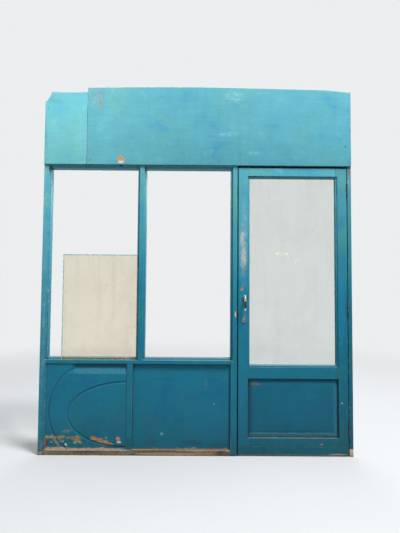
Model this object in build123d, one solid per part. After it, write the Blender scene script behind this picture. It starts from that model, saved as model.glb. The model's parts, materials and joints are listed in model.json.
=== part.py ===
# A glazed shopfront door in its own timber frame: a half-glazed leaf on the right, two window
# lights over two lower panels on the left, and a plywood fascia board over the whole width.
# Millimetres, +Z up. The unit faces -Y, +X is to the viewer's right. The origin is the middle
# of the underside of the frame, half way through its depth.
from build123d import *
import math
import os

# Frame timber
frame_depth = 75.0
left_jamb_width = 49.0
mullion_width = 63.0
muntin_width = 44.0
lock_post_face = 48.0
hinge_jamb_face = 29.0
bottom_rail_height = 42.0
mid_rail_height = 42.0
head_rail_height = 77.0
top_rail_height = 60.0
backing_depth = 45.0
stud_width = 50.0
tenon_thickness = 24.0
tenon_length = 26.0
tenon_inset = 8.0
arris = 2.0

# Openings, across and upwards
light_1_width = 657.0
light_2_width = 638.0
carved_bay_width = 594.0
panel_bay_height = 620.0
light_height = 1419.0
fascia_backing_height = 350.0
light_rebate_width = 14.0
light_rebate_depth = 15.0

# Door leaf
leaf_width = 813.0
leaf_thickness = 38.0
floor_gap = 12.0
lock_gap = 8.0
hinge_gap = 5.0
stop_overlap = 12.0
head_stop_overlap = 8.0
stop_clearance = 1.5
stile_width = 86.0
door_top_rail_height = 76.0
lock_rail_height = 114.0
glass_bay_height = 1395.0
door_bottom_rail_height = 74.0
foot_strip_height = 60.0
door_rebate_width = 14.0
door_rebate_depth = 26.0
door_tenon_thickness = 12.0
door_tenon_length = 45.0
door_tenon_inset = 26.0
door_tenon_setback = 13.0
panel_groove_depth = 10.0
panel_groove_width = 9.0
panel_tongue_play = 1.0
panel_shoulder_play = 1.0
panel_bevel = 34.0
panel_raise = 8.0
glass_thickness = 4.0
glass_play = 2.0
bead_setback = 6.0
bead_round = 10.0

# Fascia
fascia_thickness = 9.0
fascia_drop = 16.0
fascia_seam_from_left = 319.0
fascia_seam_gap = 1.5
short_board_height = 555.0
long_board_left_height = 588.0
long_board_mid_height = 598.0
long_board_fall_height = 584.0
long_board_right_height = 566.0
long_board_fall_from_right = 180.0
corner_cut_width = 50.0
corner_cut_height = 81.0
corner_cut_bow = 5.0
top_edge_dip = 4.0
nail_head = 6.0
nail_head_height = 1.0
nail_shank = 3.0
nail_edge_distance = 24.0
nail_spacing = 290.0

# Lower panels and the loose pane
carved_board = 18.0
carved_recess = 4.0
carved_relief = 6.0
carved_top_bevel = 42.0
carved_top_margin = 33.0
carved_arc_radius = 350.0
carved_arc_from_jamb = 373.0
carved_arc_rise = 278.0
carved_corner_drop = 1.0
oval_half_length = 430.0
oval_half_height = 234.0
oval_rise = 251.0
groove_width = 15.0
groove_depth = 4.0
plain_panel_thickness = 6.0
plain_panel_recess = 15.0
panel_play = 0.5
panel_strip = 14.0
pane_left_gap = 106.0
pane_height = 780.0
pane_in_rebate = 9.0

# Butt hinges
hinge_height = 100.0
top_hinge_drop = 166.0
bottom_hinge_rise = 193.0
hinge_plate = 2.0
hinge_plate_width = 30.0
hinge_pin_radius = 2.5
hinge_knuckles = 5
knuckle_gap = 0.4
pin_running_clearance = 0.05
pin_head_height = 2.0
hinge_screw_rise = 36.0
hinge_screw_from_front = 18.0

# Lever handle, latch and lock
spindle_backset = 48.0
spindle_rise = 1144.0
spindle_square = 8.0
rose_radius = 19.0
rose_height = 7.0
rose_plate = 2.5
rose_shoulder = 5.0
rose_shoulder_height = 5.5
rose_lip = 2.5
hub_radius = 8.0
neck_radius = 6.5
neck_taper = 4.0
boss_radius = 9.0
boss_round = 2.0
hub_reach = 40.0
lever_length = 96.0
lever_width = 19.0
lever_depth = 10.0
turn_clearance = 0.5
lock_case_height = 78.0
lock_case_thickness = 15.0
lock_case_depth = 61.0
case_wall = 1.5
forend_thickness = 3.0
forend_width = 22.0
forend_height = 120.0
forend_screw_from_end = 9.0
forend_spacing = 36.0
latch_throw = 12.0
latch_thickness = 11.0
latch_height = 18.0
latch_head_length = 24.0
latch_flat = 3.0
latch_slope = 8.0
latch_tail_height = 16.0
latch_tail_rise = 10.0
latch_tail_thickness = 4.0
latch_setback = 0.5
follower_radius = 7.0
follower_arm_reach = 16.0
follower_arm_width = 4.0
follower_arm_lean = 20.0
bolt_clearance = 0.4
keyhole_backset = 40.0
keyhole_radius = 4.0
keyhole_slot_width = 4.0
keyhole_slot_drop = 12.0
deadbolt_height = 24.0
deadbolt_length = 56.0
deadbolt_rise = 8.0
talon_width = 14.0
talon_depth = 8.0
escutcheon_half_width = 18.0
escutcheon_half_height = 22.0
escutcheon_thickness = 3.0
escutcheon_edge = 1.5
escutcheon_drop = 2.0
strike_thickness = 2.0
strike_width = 25.0
strike_ear = 21.0
strike_screw_from_end = 8.0
strike_play = 2.0
strike_pocket_depth = 12.0
screw_head_radius = 3.6
screw_shank_radius = 1.8
screw_head_depth = 1.8
screw_length = 22.0

# Places that follow from the sizes, across
unit_width = (left_jamb_width + light_1_width + mullion_width + light_2_width + lock_post_face
              + lock_gap + leaf_width + hinge_gap + hinge_jamb_face)
x_left = -unit_width / 2
x_right = unit_width / 2
x_jamb = x_left + left_jamb_width
x_mullion = x_jamb + light_1_width
x_light_2 = x_mullion + mullion_width
x_lock_post = x_light_2 + light_2_width
x_rebate = x_lock_post + lock_post_face
x_leaf = x_rebate + lock_gap
x_leaf_end = x_leaf + leaf_width
x_hinge_jamb = x_leaf_end + hinge_gap
x_lock_stop = x_leaf + stop_overlap
x_hinge_stop = x_leaf_end - stop_overlap
x_muntin = x_jamb + carved_bay_width
x_plain = x_muntin + muntin_width
x_seam = x_left + fascia_seam_from_left

# and through the depth
y_front = -frame_depth / 2
y_back = frame_depth / 2
y_light_rebate = y_front + light_rebate_depth
y_leaf_back = y_front + leaf_thickness
y_stop = y_leaf_back + stop_clearance
y_door_rebate = y_front + door_rebate_depth
y_leaf_mid = y_front + leaf_thickness / 2
y_fascia = y_front - fascia_thickness

# and upwards
z_panel = bottom_rail_height
z_mid_rail = z_panel + panel_bay_height
z_light = z_mid_rail + mid_rail_height
z_head = z_light + light_height
z_backing = z_head + head_rail_height
z_top_rail = z_backing + fascia_backing_height
z_top = z_top_rail + top_rail_height
z_leaf = floor_gap
z_leaf_top = z_head + head_stop_overlap
z_fascia = z_leaf_top + fascia_drop
z_stiles = z_leaf + foot_strip_height
z_door_panel = z_stiles + door_bottom_rail_height
z_glass_top = z_leaf_top - door_top_rail_height
z_glass = z_glass_top - glass_bay_height
z_lock_rail = z_glass - lock_rail_height
spindle_height = z_leaf + spindle_rise
key_case_height = spindle_height - forend_height - forend_spacing
keyhole_height = key_case_height - deadbolt_rise
top_hinge = z_leaf_top - top_hinge_drop
bottom_hinge = z_leaf + bottom_hinge_rise
hinge_centres = {"top": top_hinge, "middle": (top_hinge + bottom_hinge) / 2, "bottom": bottom_hinge}


def block(x0, x1, y0, y1, z0, z1):
    """A squared piece between two corners."""
    return Pos((x0 + x1) / 2, (y0 + y1) / 2, (z0 + z1) / 2) * Box(x1 - x0, y1 - y0, z1 - z0)


def without(part, *cutters):
    """A part less everything in the cutters."""
    for cutter in cutters:
        part = part - cutter
    return part


def joined(part, *additions):
    """A part together with the pieces it was cut with."""
    for addition in additions:
        part = part + addition
    return part


def upright(x0, x1, y1, z0, z1, *cutters):
    """A post with its recesses cut, and its front arrises rounded by planing and paint."""
    post = without(block(x0, x1, y_front, y1, z0, z1), *cutters)
    return fillet(post.edges().filter_by(Axis.Z).group_by(Axis.Y)[0], arris)


def lengthwise(x0, x1, y1, z0, z1, *cutters):
    """A rail with its recesses cut, and its front arrises rounded."""
    rail = without(block(x0, x1, y_front, y1, z0, z1), *cutters)
    return fillet(rail.edges().filter_by(Axis.X).group_by(Axis.Y)[0], arris)


def prism(outline, y0, y1):
    """A face outline drawn in x and z, given its thickness from y0 to y1."""
    return extrude(Plane.XZ.offset(-y0) * make_face(outline), -(y1 - y0))


def disc(x, z, radius, y0, y1):
    """A round piece with its axis through the door."""
    return Pos(x, (y0 + y1) / 2, z) * Rot(90, 0, 0) * Cylinder(radius, y1 - y0)


def spun(profile, x, z):
    """A turned piece: its profile is pairs of radius and y, closed along the axis."""
    face = make_face(Polyline(*[(radius, y) for radius, y in profile], close=True))
    return Pos(x, 0, z) * revolve(face, Axis.Y)


def loose(parts):
    """Separate pieces kept under one name."""
    return Compound([solid for part in parts for solid in part.solids()])


def frame_tenon(x0, x1, z0, z1):
    """A tenon in the middle of the frame's depth; the same shape is its mortise."""
    return block(x0, x1, -tenon_thickness / 2, tenon_thickness / 2, z0, z1)


def side_tenons(x0, x1, z0, z1):
    """The tenons at both ends of a rail."""
    low = z0 + tenon_inset
    high = z1 - tenon_inset
    return (frame_tenon(x0 - tenon_length, x0, low, high),
            frame_tenon(x1, x1 + tenon_length, low, high))


def end_tenons(x0, x1, z0, z1):
    """The tenons at the foot and the head of a post."""
    left = x0 + light_rebate_width
    right = x1 - light_rebate_width
    return (frame_tenon(left, right, z0 - tenon_length, z0),
            frame_tenon(left, right, z1, z1 + tenon_length))


def light_rebate(x0, x1):
    """The stepped recess for glass round a window light, cut from the front."""
    return block(x0 - light_rebate_width, x1 + light_rebate_width, y_front, y_light_rebate,
                 z_light - light_rebate_width, z_head + light_rebate_width)


LIGHT_REBATES = (light_rebate(x_jamb, x_mullion), light_rebate(x_light_2, x_lock_post))
DOOR_REBATE = block(x_rebate, x_hinge_jamb, y_front, y_stop, 0, z_fascia)
BOTTOM_TENONS = side_tenons(x_jamb, x_lock_post, 0, bottom_rail_height)
MID_TENONS = side_tenons(x_jamb, x_lock_post, z_mid_rail, z_light)
HEAD_TENONS = side_tenons(x_jamb, x_hinge_stop, z_head, z_backing)
TOP_TENONS = tuple(Pos(0, y_front + backing_depth / 2, 0) * tenon
                   for tenon in side_tenons(x_jamb, x_hinge_stop, z_top_rail, z_top))
MULLION_TENONS = end_tenons(x_mullion, x_light_2, z_light, z_head)
MUNTIN_TENONS = end_tenons(x_muntin, x_plain, z_panel, z_mid_rail)
POST_TENON = frame_tenon(x_lock_post + light_rebate_width, x_rebate, z_head, z_head + tenon_length)


# Frame members

def left_jamb():
    post = upright(x_left, x_jamb, y_back, 0, z_top, LIGHT_REBATES[0])
    return without(post, BOTTOM_TENONS[0], MID_TENONS[0], HEAD_TENONS[0], TOP_TENONS[0])


def mullion():
    post = upright(x_mullion, x_light_2, y_back, z_light, z_head, *LIGHT_REBATES)
    return joined(post, *MULLION_TENONS)


def lock_post():
    post = upright(x_lock_post, x_lock_stop, y_back, 0, z_head, LIGHT_REBATES[1], DOOR_REBATE)
    post = joined(post, POST_TENON)
    return without(post, BOTTOM_TENONS[1], MID_TENONS[1], *strike_pockets())


def hinge_jamb():
    post = upright(x_hinge_stop, x_right, y_back, 0, z_top, DOOR_REBATE)
    post = without(post, HEAD_TENONS[1], TOP_TENONS[1])
    for centre in hinge_centres.values():
        post = without(post, hinge_recess(centre, +1), *hinge_screws(centre, +1))
    return post


def bottom_rail():
    rail = lengthwise(x_jamb, x_lock_post, y_back, 0, bottom_rail_height)
    return without(joined(rail, *BOTTOM_TENONS), MUNTIN_TENONS[0])


def mid_rail():
    rail = lengthwise(x_jamb, x_lock_post, y_back, z_mid_rail, z_light, *LIGHT_REBATES)
    return without(joined(rail, *MID_TENONS), MULLION_TENONS[0], MUNTIN_TENONS[1])


def lower_muntin():
    post = upright(x_muntin, x_plain, y_back, z_panel, z_mid_rail)
    return joined(post, *MUNTIN_TENONS)


def head_rail():
    rail = block(x_jamb, x_hinge_stop, y_front, y_back, z_head, z_backing)
    rail = joined(without(rail, DOOR_REBATE, *LIGHT_REBATES), *HEAD_TENONS)
    return without(rail, MULLION_TENONS[1], POST_TENON)


def top_rail():
    rail = block(x_jamb, x_hinge_stop, y_front, y_front + backing_depth, z_top_rail, z_top)
    return joined(rail, *TOP_TENONS)


def backing_stud(x):
    """A short stud behind the fascia, standing between the head rail and the top rail."""
    return block(x - stud_width / 2, x + stud_width / 2, y_front, y_front + backing_depth,
                 z_backing, z_top_rail)


STUD_PLACES = {
    "fascia_stud_at_seam": x_seam,
    "fascia_stud_over_mullion": x_mullion + mullion_width / 2,
    "fascia_stud_over_lock_post": x_lock_post + lock_post_face / 2,
    "fascia_stud_over_door": x_leaf + leaf_width / 2,
}


# Fascia boards: sawn by hand, so their top edges wander and one corner is cut away

def fascia_short_board():
    right = x_seam - fascia_seam_gap / 2
    top = z_fascia + short_board_height
    cut_foot = (x_left, top - corner_cut_height)
    cut_head = (x_left + corner_cut_width, top)
    middle = ((cut_foot[0] + cut_head[0]) / 2 + corner_cut_bow,
              (cut_foot[1] + cut_head[1]) / 2 - corner_cut_bow)
    dip = (x_left + corner_cut_width + (right - x_left - corner_cut_width) / 3, top - top_edge_dip)
    outline = [Polyline(cut_foot, (x_left, z_fascia), (right, z_fascia), (right, top)),
               Spline((right, top), dip, cut_head),
               ThreePointArc(cut_head, middle, cut_foot)]
    return prism(outline, y_fascia, y_front)


def fascia_long_board():
    left = x_seam + fascia_seam_gap / 2
    start = (left, z_fascia + long_board_left_height)
    crest = ((left + x_right) / 2, z_fascia + long_board_mid_height)
    fall = (x_right - long_board_fall_from_right, z_fascia + long_board_fall_height)
    corner = (x_right, z_fascia + long_board_right_height)
    outline = [Polyline(start, (left, z_fascia), (x_right, z_fascia), corner),
               Line(corner, fall),
               Spline(fall, crest, start)]
    return prism(outline, y_fascia, y_front)


def peg(x, z, width, y0, y1):
    """A square length through the depth of the frame."""
    half = width / 2
    return block(x - half, x + half, y0, y1, z - half, z + half)


def fascia_nails():
    """Cut nails with square heads, along the rails behind the boards."""
    y_point = y_front + fascia_thickness
    places = []
    for z in (z_backing - head_rail_height / 4, z_top_rail + top_rail_height / 3):
        count = int((unit_width - 2 * nail_edge_distance) // nail_spacing)
        step = (unit_width - 2 * nail_edge_distance) / count
        places += [(x_left + nail_edge_distance + step * n, z) for n in range(count + 1)]
    return [peg(x, z, nail_shank, y_fascia, y_point)
            + peg(x, z, nail_head, y_fascia - nail_head_height, y_fascia) for x, z in places]


# Lower panels

def carved_panel():
    """Half of an old raised panel, turned on its side: an arched field with an oval groove."""
    face = y_front + carved_recess
    ground = face + carved_relief
    left = x_jamb + panel_play
    right = x_muntin - panel_play
    low = z_panel
    high = z_mid_rail - panel_play
    field_top = z_mid_rail - carved_top_margin
    centre = (x_jamb + carved_arc_from_jamb, z_panel + carved_arc_rise)
    arc_top = arc_point(centre, field_top)
    arc_foot = arc_point(centre, low)
    apex = (centre[0] - carved_arc_radius, centre[1])
    arch = ThreePointArc(arc_top, apex, arc_foot)
    outline = [arch, Polyline(arc_foot, (right, low), (right, field_top), arc_top)]
    slope = Plane.YZ.offset(left) * make_face(Polyline(
        (ground, low), (face, low), (face, field_top - carved_top_bevel), (ground, field_top),
        close=True))
    field = prism(outline, face, ground) & extrude(slope, right - left)
    corner = block(left, arc_top[0], face + carved_corner_drop, ground, low, high)
    corner -= prism(outline, face, ground)
    board = block(left, right, ground, face + carved_board, low, high)
    oval = EllipticalCenterArc((x_muntin, z_panel + oval_rise), oval_half_length,
                               oval_half_height, start_angle=90, arc_size=180)
    return without(board + field + corner, groove(oval, face),
                   groove(ThreePointArc(arc_top, apex, arc_foot), face))


def arc_point(centre, z):
    """Where the arch of the carved panel crosses a level."""
    return centre[0] - math.sqrt(carved_arc_radius**2 - (z - centre[1])**2), z


def groove(line, face):
    """The cutter of a V groove that follows a line drawn on the face of a board."""
    path = Plane.XZ.offset(-face) * line
    half = groove_width / 2
    along = path % 0
    section = Plane(origin=path @ 0, x_dir=along.cross(Vector(0, 1, 0)), z_dir=along)
    depth = groove_depth if section.y_dir.Y > 0 else -groove_depth
    lip = -depth / groove_depth
    triangle = Polyline((-half, 0), (-half, lip), (half, lip), (half, 0), (0, depth), close=True)
    return sweep(section * make_face(triangle), path=path)


def plain_panel():
    front = y_front + plain_panel_recess
    return block(x_plain + panel_play, x_lock_post - panel_play, front,
                 front + plain_panel_thickness, z_panel, z_mid_rail - panel_play)


def mitred_frame(x0, x1, z0, z1, width, y0, y1, profile=None):
    """Four strips round the inside of an opening, mitred at its corners, by the side they lie on."""
    middle_x = (x0 + x1) / 2
    middle_z = (z0 + z1) / 2
    sides = {
        "bottom": ((x0, z0), (x1, z0), (x1 - width, z0 + width), (x0 + width, z0 + width)),
        "top": ((x0, z1), (x1, z1), (x1 - width, z1 - width), (x0 + width, z1 - width)),
        "left": ((x0, z0), (x0, z1), (x0 + width, z1 - width), (x0 + width, z0 + width)),
        "right": ((x1, z0), (x1, z1), (x1 - width, z1 - width), (x1 - width, z0 + width)),
    }
    strips = {}
    for side, corners in sides.items():
        strip = prism(Polyline(*corners, close=True), y0, y1)
        if profile:
            inner = strip.faces().sort_by(Axis.Y)[0].edges().sort_by(
                lambda edge: abs(edge.center().X - middle_x) + abs(edge.center().Z - middle_z))[0]
            strip = fillet(inner, profile)
        strips[side] = strip
    return strips


def panel_strips(x0, x1, y0):
    """The strips nailed behind a lower panel."""
    strips = mitred_frame(x0, x1, z_panel, z_mid_rail, panel_strip, y0, y0 + panel_strip)
    return list(strips.values())


def offcut_pane():
    """A smaller loose pane that stands in the rebate of the first light."""
    return block(x_jamb + pane_left_gap, x_mullion + pane_in_rebate,
                 y_light_rebate - glass_thickness, y_light_rebate,
                 z_light - light_rebate_width, z_light - light_rebate_width + pane_height)


# Hinges. side is +1 on the jamb and -1 on the leaf; both plates share one barrel.
x_pin = x_leaf_end + hinge_gap / 2
barrel_radius = hinge_gap / 2 + hinge_plate
y_pin = y_front - barrel_radius
knuckle = hinge_height / hinge_knuckles


def hinge_recess(centre, side):
    inner = x_pin + side * hinge_gap / 2
    outer = x_pin + side * barrel_radius
    return block(min(inner, outer), max(inner, outer), y_front, y_front + hinge_plate_width,
                 centre - hinge_height / 2, centre + hinge_height / 2)


def hinge_leaf_plate(centre, side):
    """One plate of a butt hinge, with its own knuckles rolled round the pin."""
    own = 0 if side > 0 else 1
    low = centre - hinge_height / 2
    inner = x_pin + side * hinge_gap / 2
    outer = x_pin + side * barrel_radius
    x0, x1 = min(inner, outer), max(inner, outer)
    plate = block(x0, x1, y_front + knuckle_gap, y_front + hinge_plate_width, low, low + hinge_height)
    for number in range(own, hinge_knuckles, 2):
        z0 = low + number * knuckle + (knuckle_gap / 2 if number else 0)
        z1 = low + (number + 1) * knuckle - (knuckle_gap / 2 if number < hinge_knuckles - 1 else 0)
        roll = Pos(x_pin, y_pin, (z0 + z1) / 2) * Cylinder(barrel_radius, z1 - z0)
        plate += roll + block(x0, x1, y_pin, y_front + 2 * knuckle_gap, z0, z1)
    bore = hinge_pin_radius + (0 if side > 0 else pin_running_clearance)
    plate -= Pos(x_pin, y_pin, centre) * Cylinder(bore, hinge_height)
    return without(plate, *hinge_screws(centre, side))


def hinge_pin(centre):
    """The pin, with a button head at each end."""
    pin = Pos(x_pin, y_pin, centre) * Cylinder(hinge_pin_radius, hinge_height)
    for side in (-1, 1):
        z = centre + side * (hinge_height + pin_head_height) / 2
        pin += Pos(x_pin, y_pin, z) * Cylinder(barrel_radius, pin_head_height)
    return pin


def wood_screw(head_centre, direction):
    """A countersunk screw; its flat head faces against the direction that it is driven."""
    outline = Polyline((0, 0), (screw_head_radius, 0), (screw_shank_radius, screw_head_depth),
                       (screw_shank_radius, screw_length), (0, screw_length), close=True)
    turned = revolve(make_face(outline), Axis.Y)
    axis = Plane(origin=head_centre, x_dir=(0, 0, 1), z_dir=Vector(0, 0, 1).cross(direction))
    return axis * turned


def hinge_screws(centre, side):
    """The screws of one hinge plate: one pair near each end and one in the middle."""
    face = x_pin + side * hinge_gap / 2
    y = y_front + hinge_screw_from_front
    return [wood_screw((face, y, centre + rise), Vector(side, 0, 0))
            for rise in (-hinge_screw_rise, 0, hinge_screw_rise)]


# Leaf. Two recesses are cut from the front, for the glass and for the panel.
x_rebate_0 = x_leaf + stile_width - door_rebate_width
x_rebate_1 = x_leaf_end - stile_width + door_rebate_width
z_glass_0 = z_glass - door_rebate_width
z_glass_1 = z_glass_top + door_rebate_width
z_panel_0 = z_door_panel - door_rebate_width
z_panel_1 = z_lock_rail + door_rebate_width
y_groove = y_door_rebate - panel_groove_width

GLASS_RECESS = block(x_rebate_0, x_rebate_1, y_front, y_door_rebate, z_glass_0, z_glass_1)
PANEL_RECESS = block(x_rebate_0, x_rebate_1, y_front, y_door_rebate, z_panel_0, z_panel_1)
PANEL_GROOVE = block(x_rebate_0 - panel_groove_depth, x_rebate_1 + panel_groove_depth,
                     y_groove, y_door_rebate,
                     z_panel_0 - panel_groove_depth, z_panel_1 + panel_groove_depth)


def door_tenons(z0, z1):
    """The tenons of one rail of the leaf, in both stiles."""
    y0 = y_front + door_tenon_setback
    y1 = y0 + door_tenon_thickness
    low = z0 + door_tenon_inset
    high = z1 - door_tenon_inset
    left = x_leaf + stile_width
    right = x_leaf_end - stile_width
    return (block(left - door_tenon_length, left, y0, y1, low, high),
            block(right, right + door_tenon_length, y0, y1, low, high))


RAIL_SPANS = {
    "door_top_rail": (z_glass_top, z_leaf_top),
    "door_lock_rail": (z_lock_rail, z_glass),
    "door_bottom_rail": (z_stiles, z_door_panel),
}


def door_rail(name):
    z0, z1 = RAIL_SPANS[name]
    rail = lengthwise(x_leaf + stile_width, x_leaf_end - stile_width, y_leaf_back, z0, z1,
                      GLASS_RECESS, PANEL_RECESS)
    return joined(rail - PANEL_GROOVE, *door_tenons(z0, z1))


def door_stile(x0, x1, side):
    """A stile; side is 0 at the lock and 1 at the hinges."""
    stile = upright(x0, x1, y_leaf_back, z_stiles, z_leaf_top, GLASS_RECESS, PANEL_RECESS)
    mortises = [door_tenons(*span)[side] for span in RAIL_SPANS.values()]
    return without(stile, PANEL_GROOVE, *mortises)


def lock_stile():
    stile = door_stile(x_leaf, x_leaf + stile_width, 0)
    stile = without(stile, case_envelope(spindle_height), case_envelope(key_case_height),
                    forend(spindle_height), forend(key_case_height))
    through = hub_radius + turn_clearance
    stile -= disc(x_spindle, spindle_height, through, y_front, y_leaf_back)
    stile -= keyhole(y_front, y_leaf_back)
    return without(stile, *forend_screws())


def hinge_stile():
    stile = door_stile(x_leaf_end - stile_width, x_leaf_end, 1)
    for centre in hinge_centres.values():
        stile = without(stile, hinge_recess(centre, -1), *hinge_screws(centre, -1))
    return stile


def door_foot_strip():
    """The board across the foot of the leaf, under the stiles and the bottom rail."""
    return lengthwise(x_leaf, x_leaf_end, y_leaf_back, z_leaf, z_stiles)


def door_panel():
    """A raised panel: a tongue all round, and a field with sloping margins."""
    reach = panel_groove_depth - panel_tongue_play
    tongue = block(x_rebate_0 - reach, x_rebate_1 + reach, y_groove, y_door_rebate,
                   z_panel_0 - panel_groove_depth, z_panel_1 + reach)
    width = x_rebate_1 - x_rebate_0
    height = z_panel_1 - z_panel_0
    centre = ((x_rebate_0 + x_rebate_1) / 2, (z_panel_0 + z_panel_1) / 2)
    foot = Plane.XZ.offset(-y_groove) * Pos(*centre) * Rectangle(width - panel_shoulder_play,
                                                                 height - panel_shoulder_play)
    head = Plane.XZ.offset(-y_groove + panel_raise) * Pos(*centre) * Rectangle(
        width - 2 * panel_bevel, height - 2 * panel_bevel)
    return tongue + loft([foot, head])


def door_glass():
    return block(x_rebate_0 + glass_play, x_rebate_1 - glass_play,
                 y_door_rebate - glass_thickness, y_door_rebate, z_glass_0, z_glass_1 - glass_play)


def glass_beads():
    return mitred_frame(x_rebate_0, x_rebate_1, z_glass_0, z_glass_1, door_rebate_width,
                        y_front + bead_setback, y_door_rebate - glass_thickness, bead_round)


# Latch and lock. Each has a thin hollow case in the stile and a forend plate on its edge.
x_spindle = x_leaf + spindle_backset
x_keyhole = x_leaf + keyhole_backset
x_case = x_leaf + forend_thickness


def forend(z):
    y0 = y_leaf_mid - forend_width / 2
    return block(x_leaf, x_case, y0, y0 + forend_width, z - forend_height / 2,
                 z + forend_height / 2)


def case_envelope(z):
    y0 = y_leaf_mid - lock_case_thickness / 2
    return block(x_case, x_leaf + forend_thickness + lock_case_depth, y0, y0 + lock_case_thickness,
                 z - lock_case_height / 2, z + lock_case_height / 2)


def case_hollow(z):
    y0 = y_leaf_mid - lock_case_thickness / 2 + case_wall
    y1 = y_leaf_mid + lock_case_thickness / 2 - case_wall
    return block(x_case, x_case + lock_case_depth - case_wall, y0, y1,
                 z - lock_case_height / 2 + case_wall, z + lock_case_height / 2 - case_wall)


def bolt_mouth(z0, z1):
    """The hole in a forend that its bolt slides in."""
    half = latch_thickness / 2 + bolt_clearance
    return block(x_leaf, x_case, y_leaf_mid - half, y_leaf_mid + half,
                 z0 - bolt_clearance, z1 + bolt_clearance)


LATCH_SPAN = (spindle_height + latch_tail_rise, spindle_height + latch_tail_rise + latch_height)
DEADBOLT_SPAN = (keyhole_height + deadbolt_rise, keyhole_height + deadbolt_rise + deadbolt_height)


def keyhole(y0, y1):
    """A round hole over a narrow slot, right through the leaf."""
    slot = block(x_keyhole - keyhole_slot_width / 2, x_keyhole + keyhole_slot_width / 2, y0, y1,
                 keyhole_height - keyhole_slot_drop, keyhole_height)
    return disc(x_keyhole, keyhole_height, keyhole_radius, y0, y1) + slot


def forend_screws():
    rise = forend_height / 2 - forend_screw_from_end
    return [wood_screw((x_leaf, y_leaf_mid, z + side * rise), Vector(1, 0, 0))
            for z in (spindle_height, key_case_height) for side in (-1, 1)]


def latch_case():
    case = case_envelope(spindle_height) - case_hollow(spindle_height) + forend(spindle_height)
    case -= bolt_mouth(*LATCH_SPAN)
    case -= disc(x_spindle, spindle_height, follower_radius + turn_clearance, y_front, y_leaf_back)
    return without(case, *forend_screws())


def deadlock_case():
    case = case_envelope(key_case_height) - case_hollow(key_case_height) + forend(key_case_height)
    case = without(case, bolt_mouth(*DEADBOLT_SPAN), keyhole(y_front, y_leaf_back))
    return without(case, *forend_screws())


def latch_bolt():
    """The latch, drawn back: a nose with one sloping cheek, and a flat tail with a notch."""
    tip = x_leaf + latch_setback
    back = tip + latch_head_length
    half = latch_thickness / 2
    z0 = LATCH_SPAN[0]
    profile = Polyline((tip, y_leaf_mid - half), (tip, y_leaf_mid - half + latch_flat),
                       (tip + latch_slope, y_leaf_mid + half), (back, y_leaf_mid + half),
                       (back, y_leaf_mid - half), close=True)
    head = Pos(0, 0, z0) * extrude(make_face(profile), latch_height)
    end = x_case + lock_case_depth - case_wall - 2 * turn_clearance
    tail_half = latch_tail_thickness / 2
    tail = block(back, end, y_leaf_mid - tail_half, y_leaf_mid + tail_half, z0,
                 z0 + latch_tail_height)
    swing = follower_arm_width / 2 + 2 * turn_clearance
    lean = math.radians(follower_arm_lean)
    notch_right = x_spindle + follower_arm_reach * math.sin(lean) + swing
    notch_left = x_spindle + latch_throw - follower_arm_reach * math.cos(lean) - swing
    notch = block(notch_left, notch_right, y_leaf_mid - half, y_leaf_mid + half, z0,
                  spindle_height + follower_arm_reach + 2 * turn_clearance)
    return head + tail - notch


def follower():
    """The hub on the spindle inside the latch case, with the arm that works the tail."""
    y0 = y_leaf_mid - lock_case_thickness / 2
    hub = disc(x_spindle, spindle_height, follower_radius, y0, y0 + lock_case_thickness)
    half = latch_tail_thickness / 2
    arm = block(-follower_arm_width / 2, follower_arm_width / 2, y_leaf_mid - half,
                y_leaf_mid + half, 0, follower_arm_reach)
    hub += Pos(x_spindle, 0, spindle_height) * Rot(0, follower_arm_lean, 0) * arm
    return hub - spindle()


def spindle():
    half = spindle_square / 2
    reach = hub_reach * 0.8
    return block(x_spindle - half, x_spindle + half, y_front - reach, y_leaf_back + reach,
                 spindle_height - half, spindle_height + half)


def handle_rose(face, out):
    """A pressed round rose on one face of the leaf; out is -1 at the front and +1 behind."""
    bore = hub_radius + turn_clearance
    profile = [(bore, face), (rose_radius, face), (rose_radius, face + out * rose_plate),
               (rose_radius - rose_shoulder, face + out * rose_shoulder_height),
               (bore + rose_lip, face + out * rose_height), (bore, face + out * rose_height)]
    return spun(profile, x_spindle, spindle_height)


def lever_handle(face, out):
    """A cast lever that hangs down: a round neck and a flat, slightly waved grip."""
    tip = face + out * (hub_reach + lever_depth / 2)
    collar = face + out * (rose_height + neck_taper)
    boss = face + out * (hub_reach - lever_depth / 2)
    profile = [(0, face), (hub_radius, face), (hub_radius, face + out * rose_height),
               (neck_radius, collar), (neck_radius, boss), (boss_radius, boss + out * boss_round),
               (boss_radius, tip - out * boss_round), (boss_radius - boss_round, tip), (0, tip)]
    neck = spun(profile, x_spindle, spindle_height)
    stations = [(0.0, 0.78, 0.0), (0.15, 0.80, 1.2), (0.35, 0.88, 1.2), (0.55, 0.98, -0.3),
                (0.72, 1.0, -2.0), (0.88, 0.88, -4.5), (0.97, 0.62, -6.4), (1.0, 0.38, -7.0)]
    centre_y = face + out * hub_reach
    sections = [Pos(x_spindle, centre_y + out * wave, spindle_height - lever_length * down)
                * Ellipse(lever_width / 2 * size, lever_depth / 2 * size)
                for down, size, wave in stations]
    return neck + loft(sections, ruled=True) - spindle()


def keyhole_plate(face, out):
    """An oval escutcheon plate with its keyhole."""
    y0, y1 = sorted((face, face + out * escutcheon_thickness))
    oval = Pos(x_keyhole, keyhole_height - escutcheon_drop) * Ellipse(escutcheon_half_width,
                                                                      escutcheon_half_height)
    plate = extrude(Plane.XZ.offset(-y0) * oval, -(y1 - y0))
    outer = plate.faces().sort_by(Axis.Y)[0 if out < 0 else -1]
    return chamfer(outer.edges(), escutcheon_edge) - keyhole(y0, y1)


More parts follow.
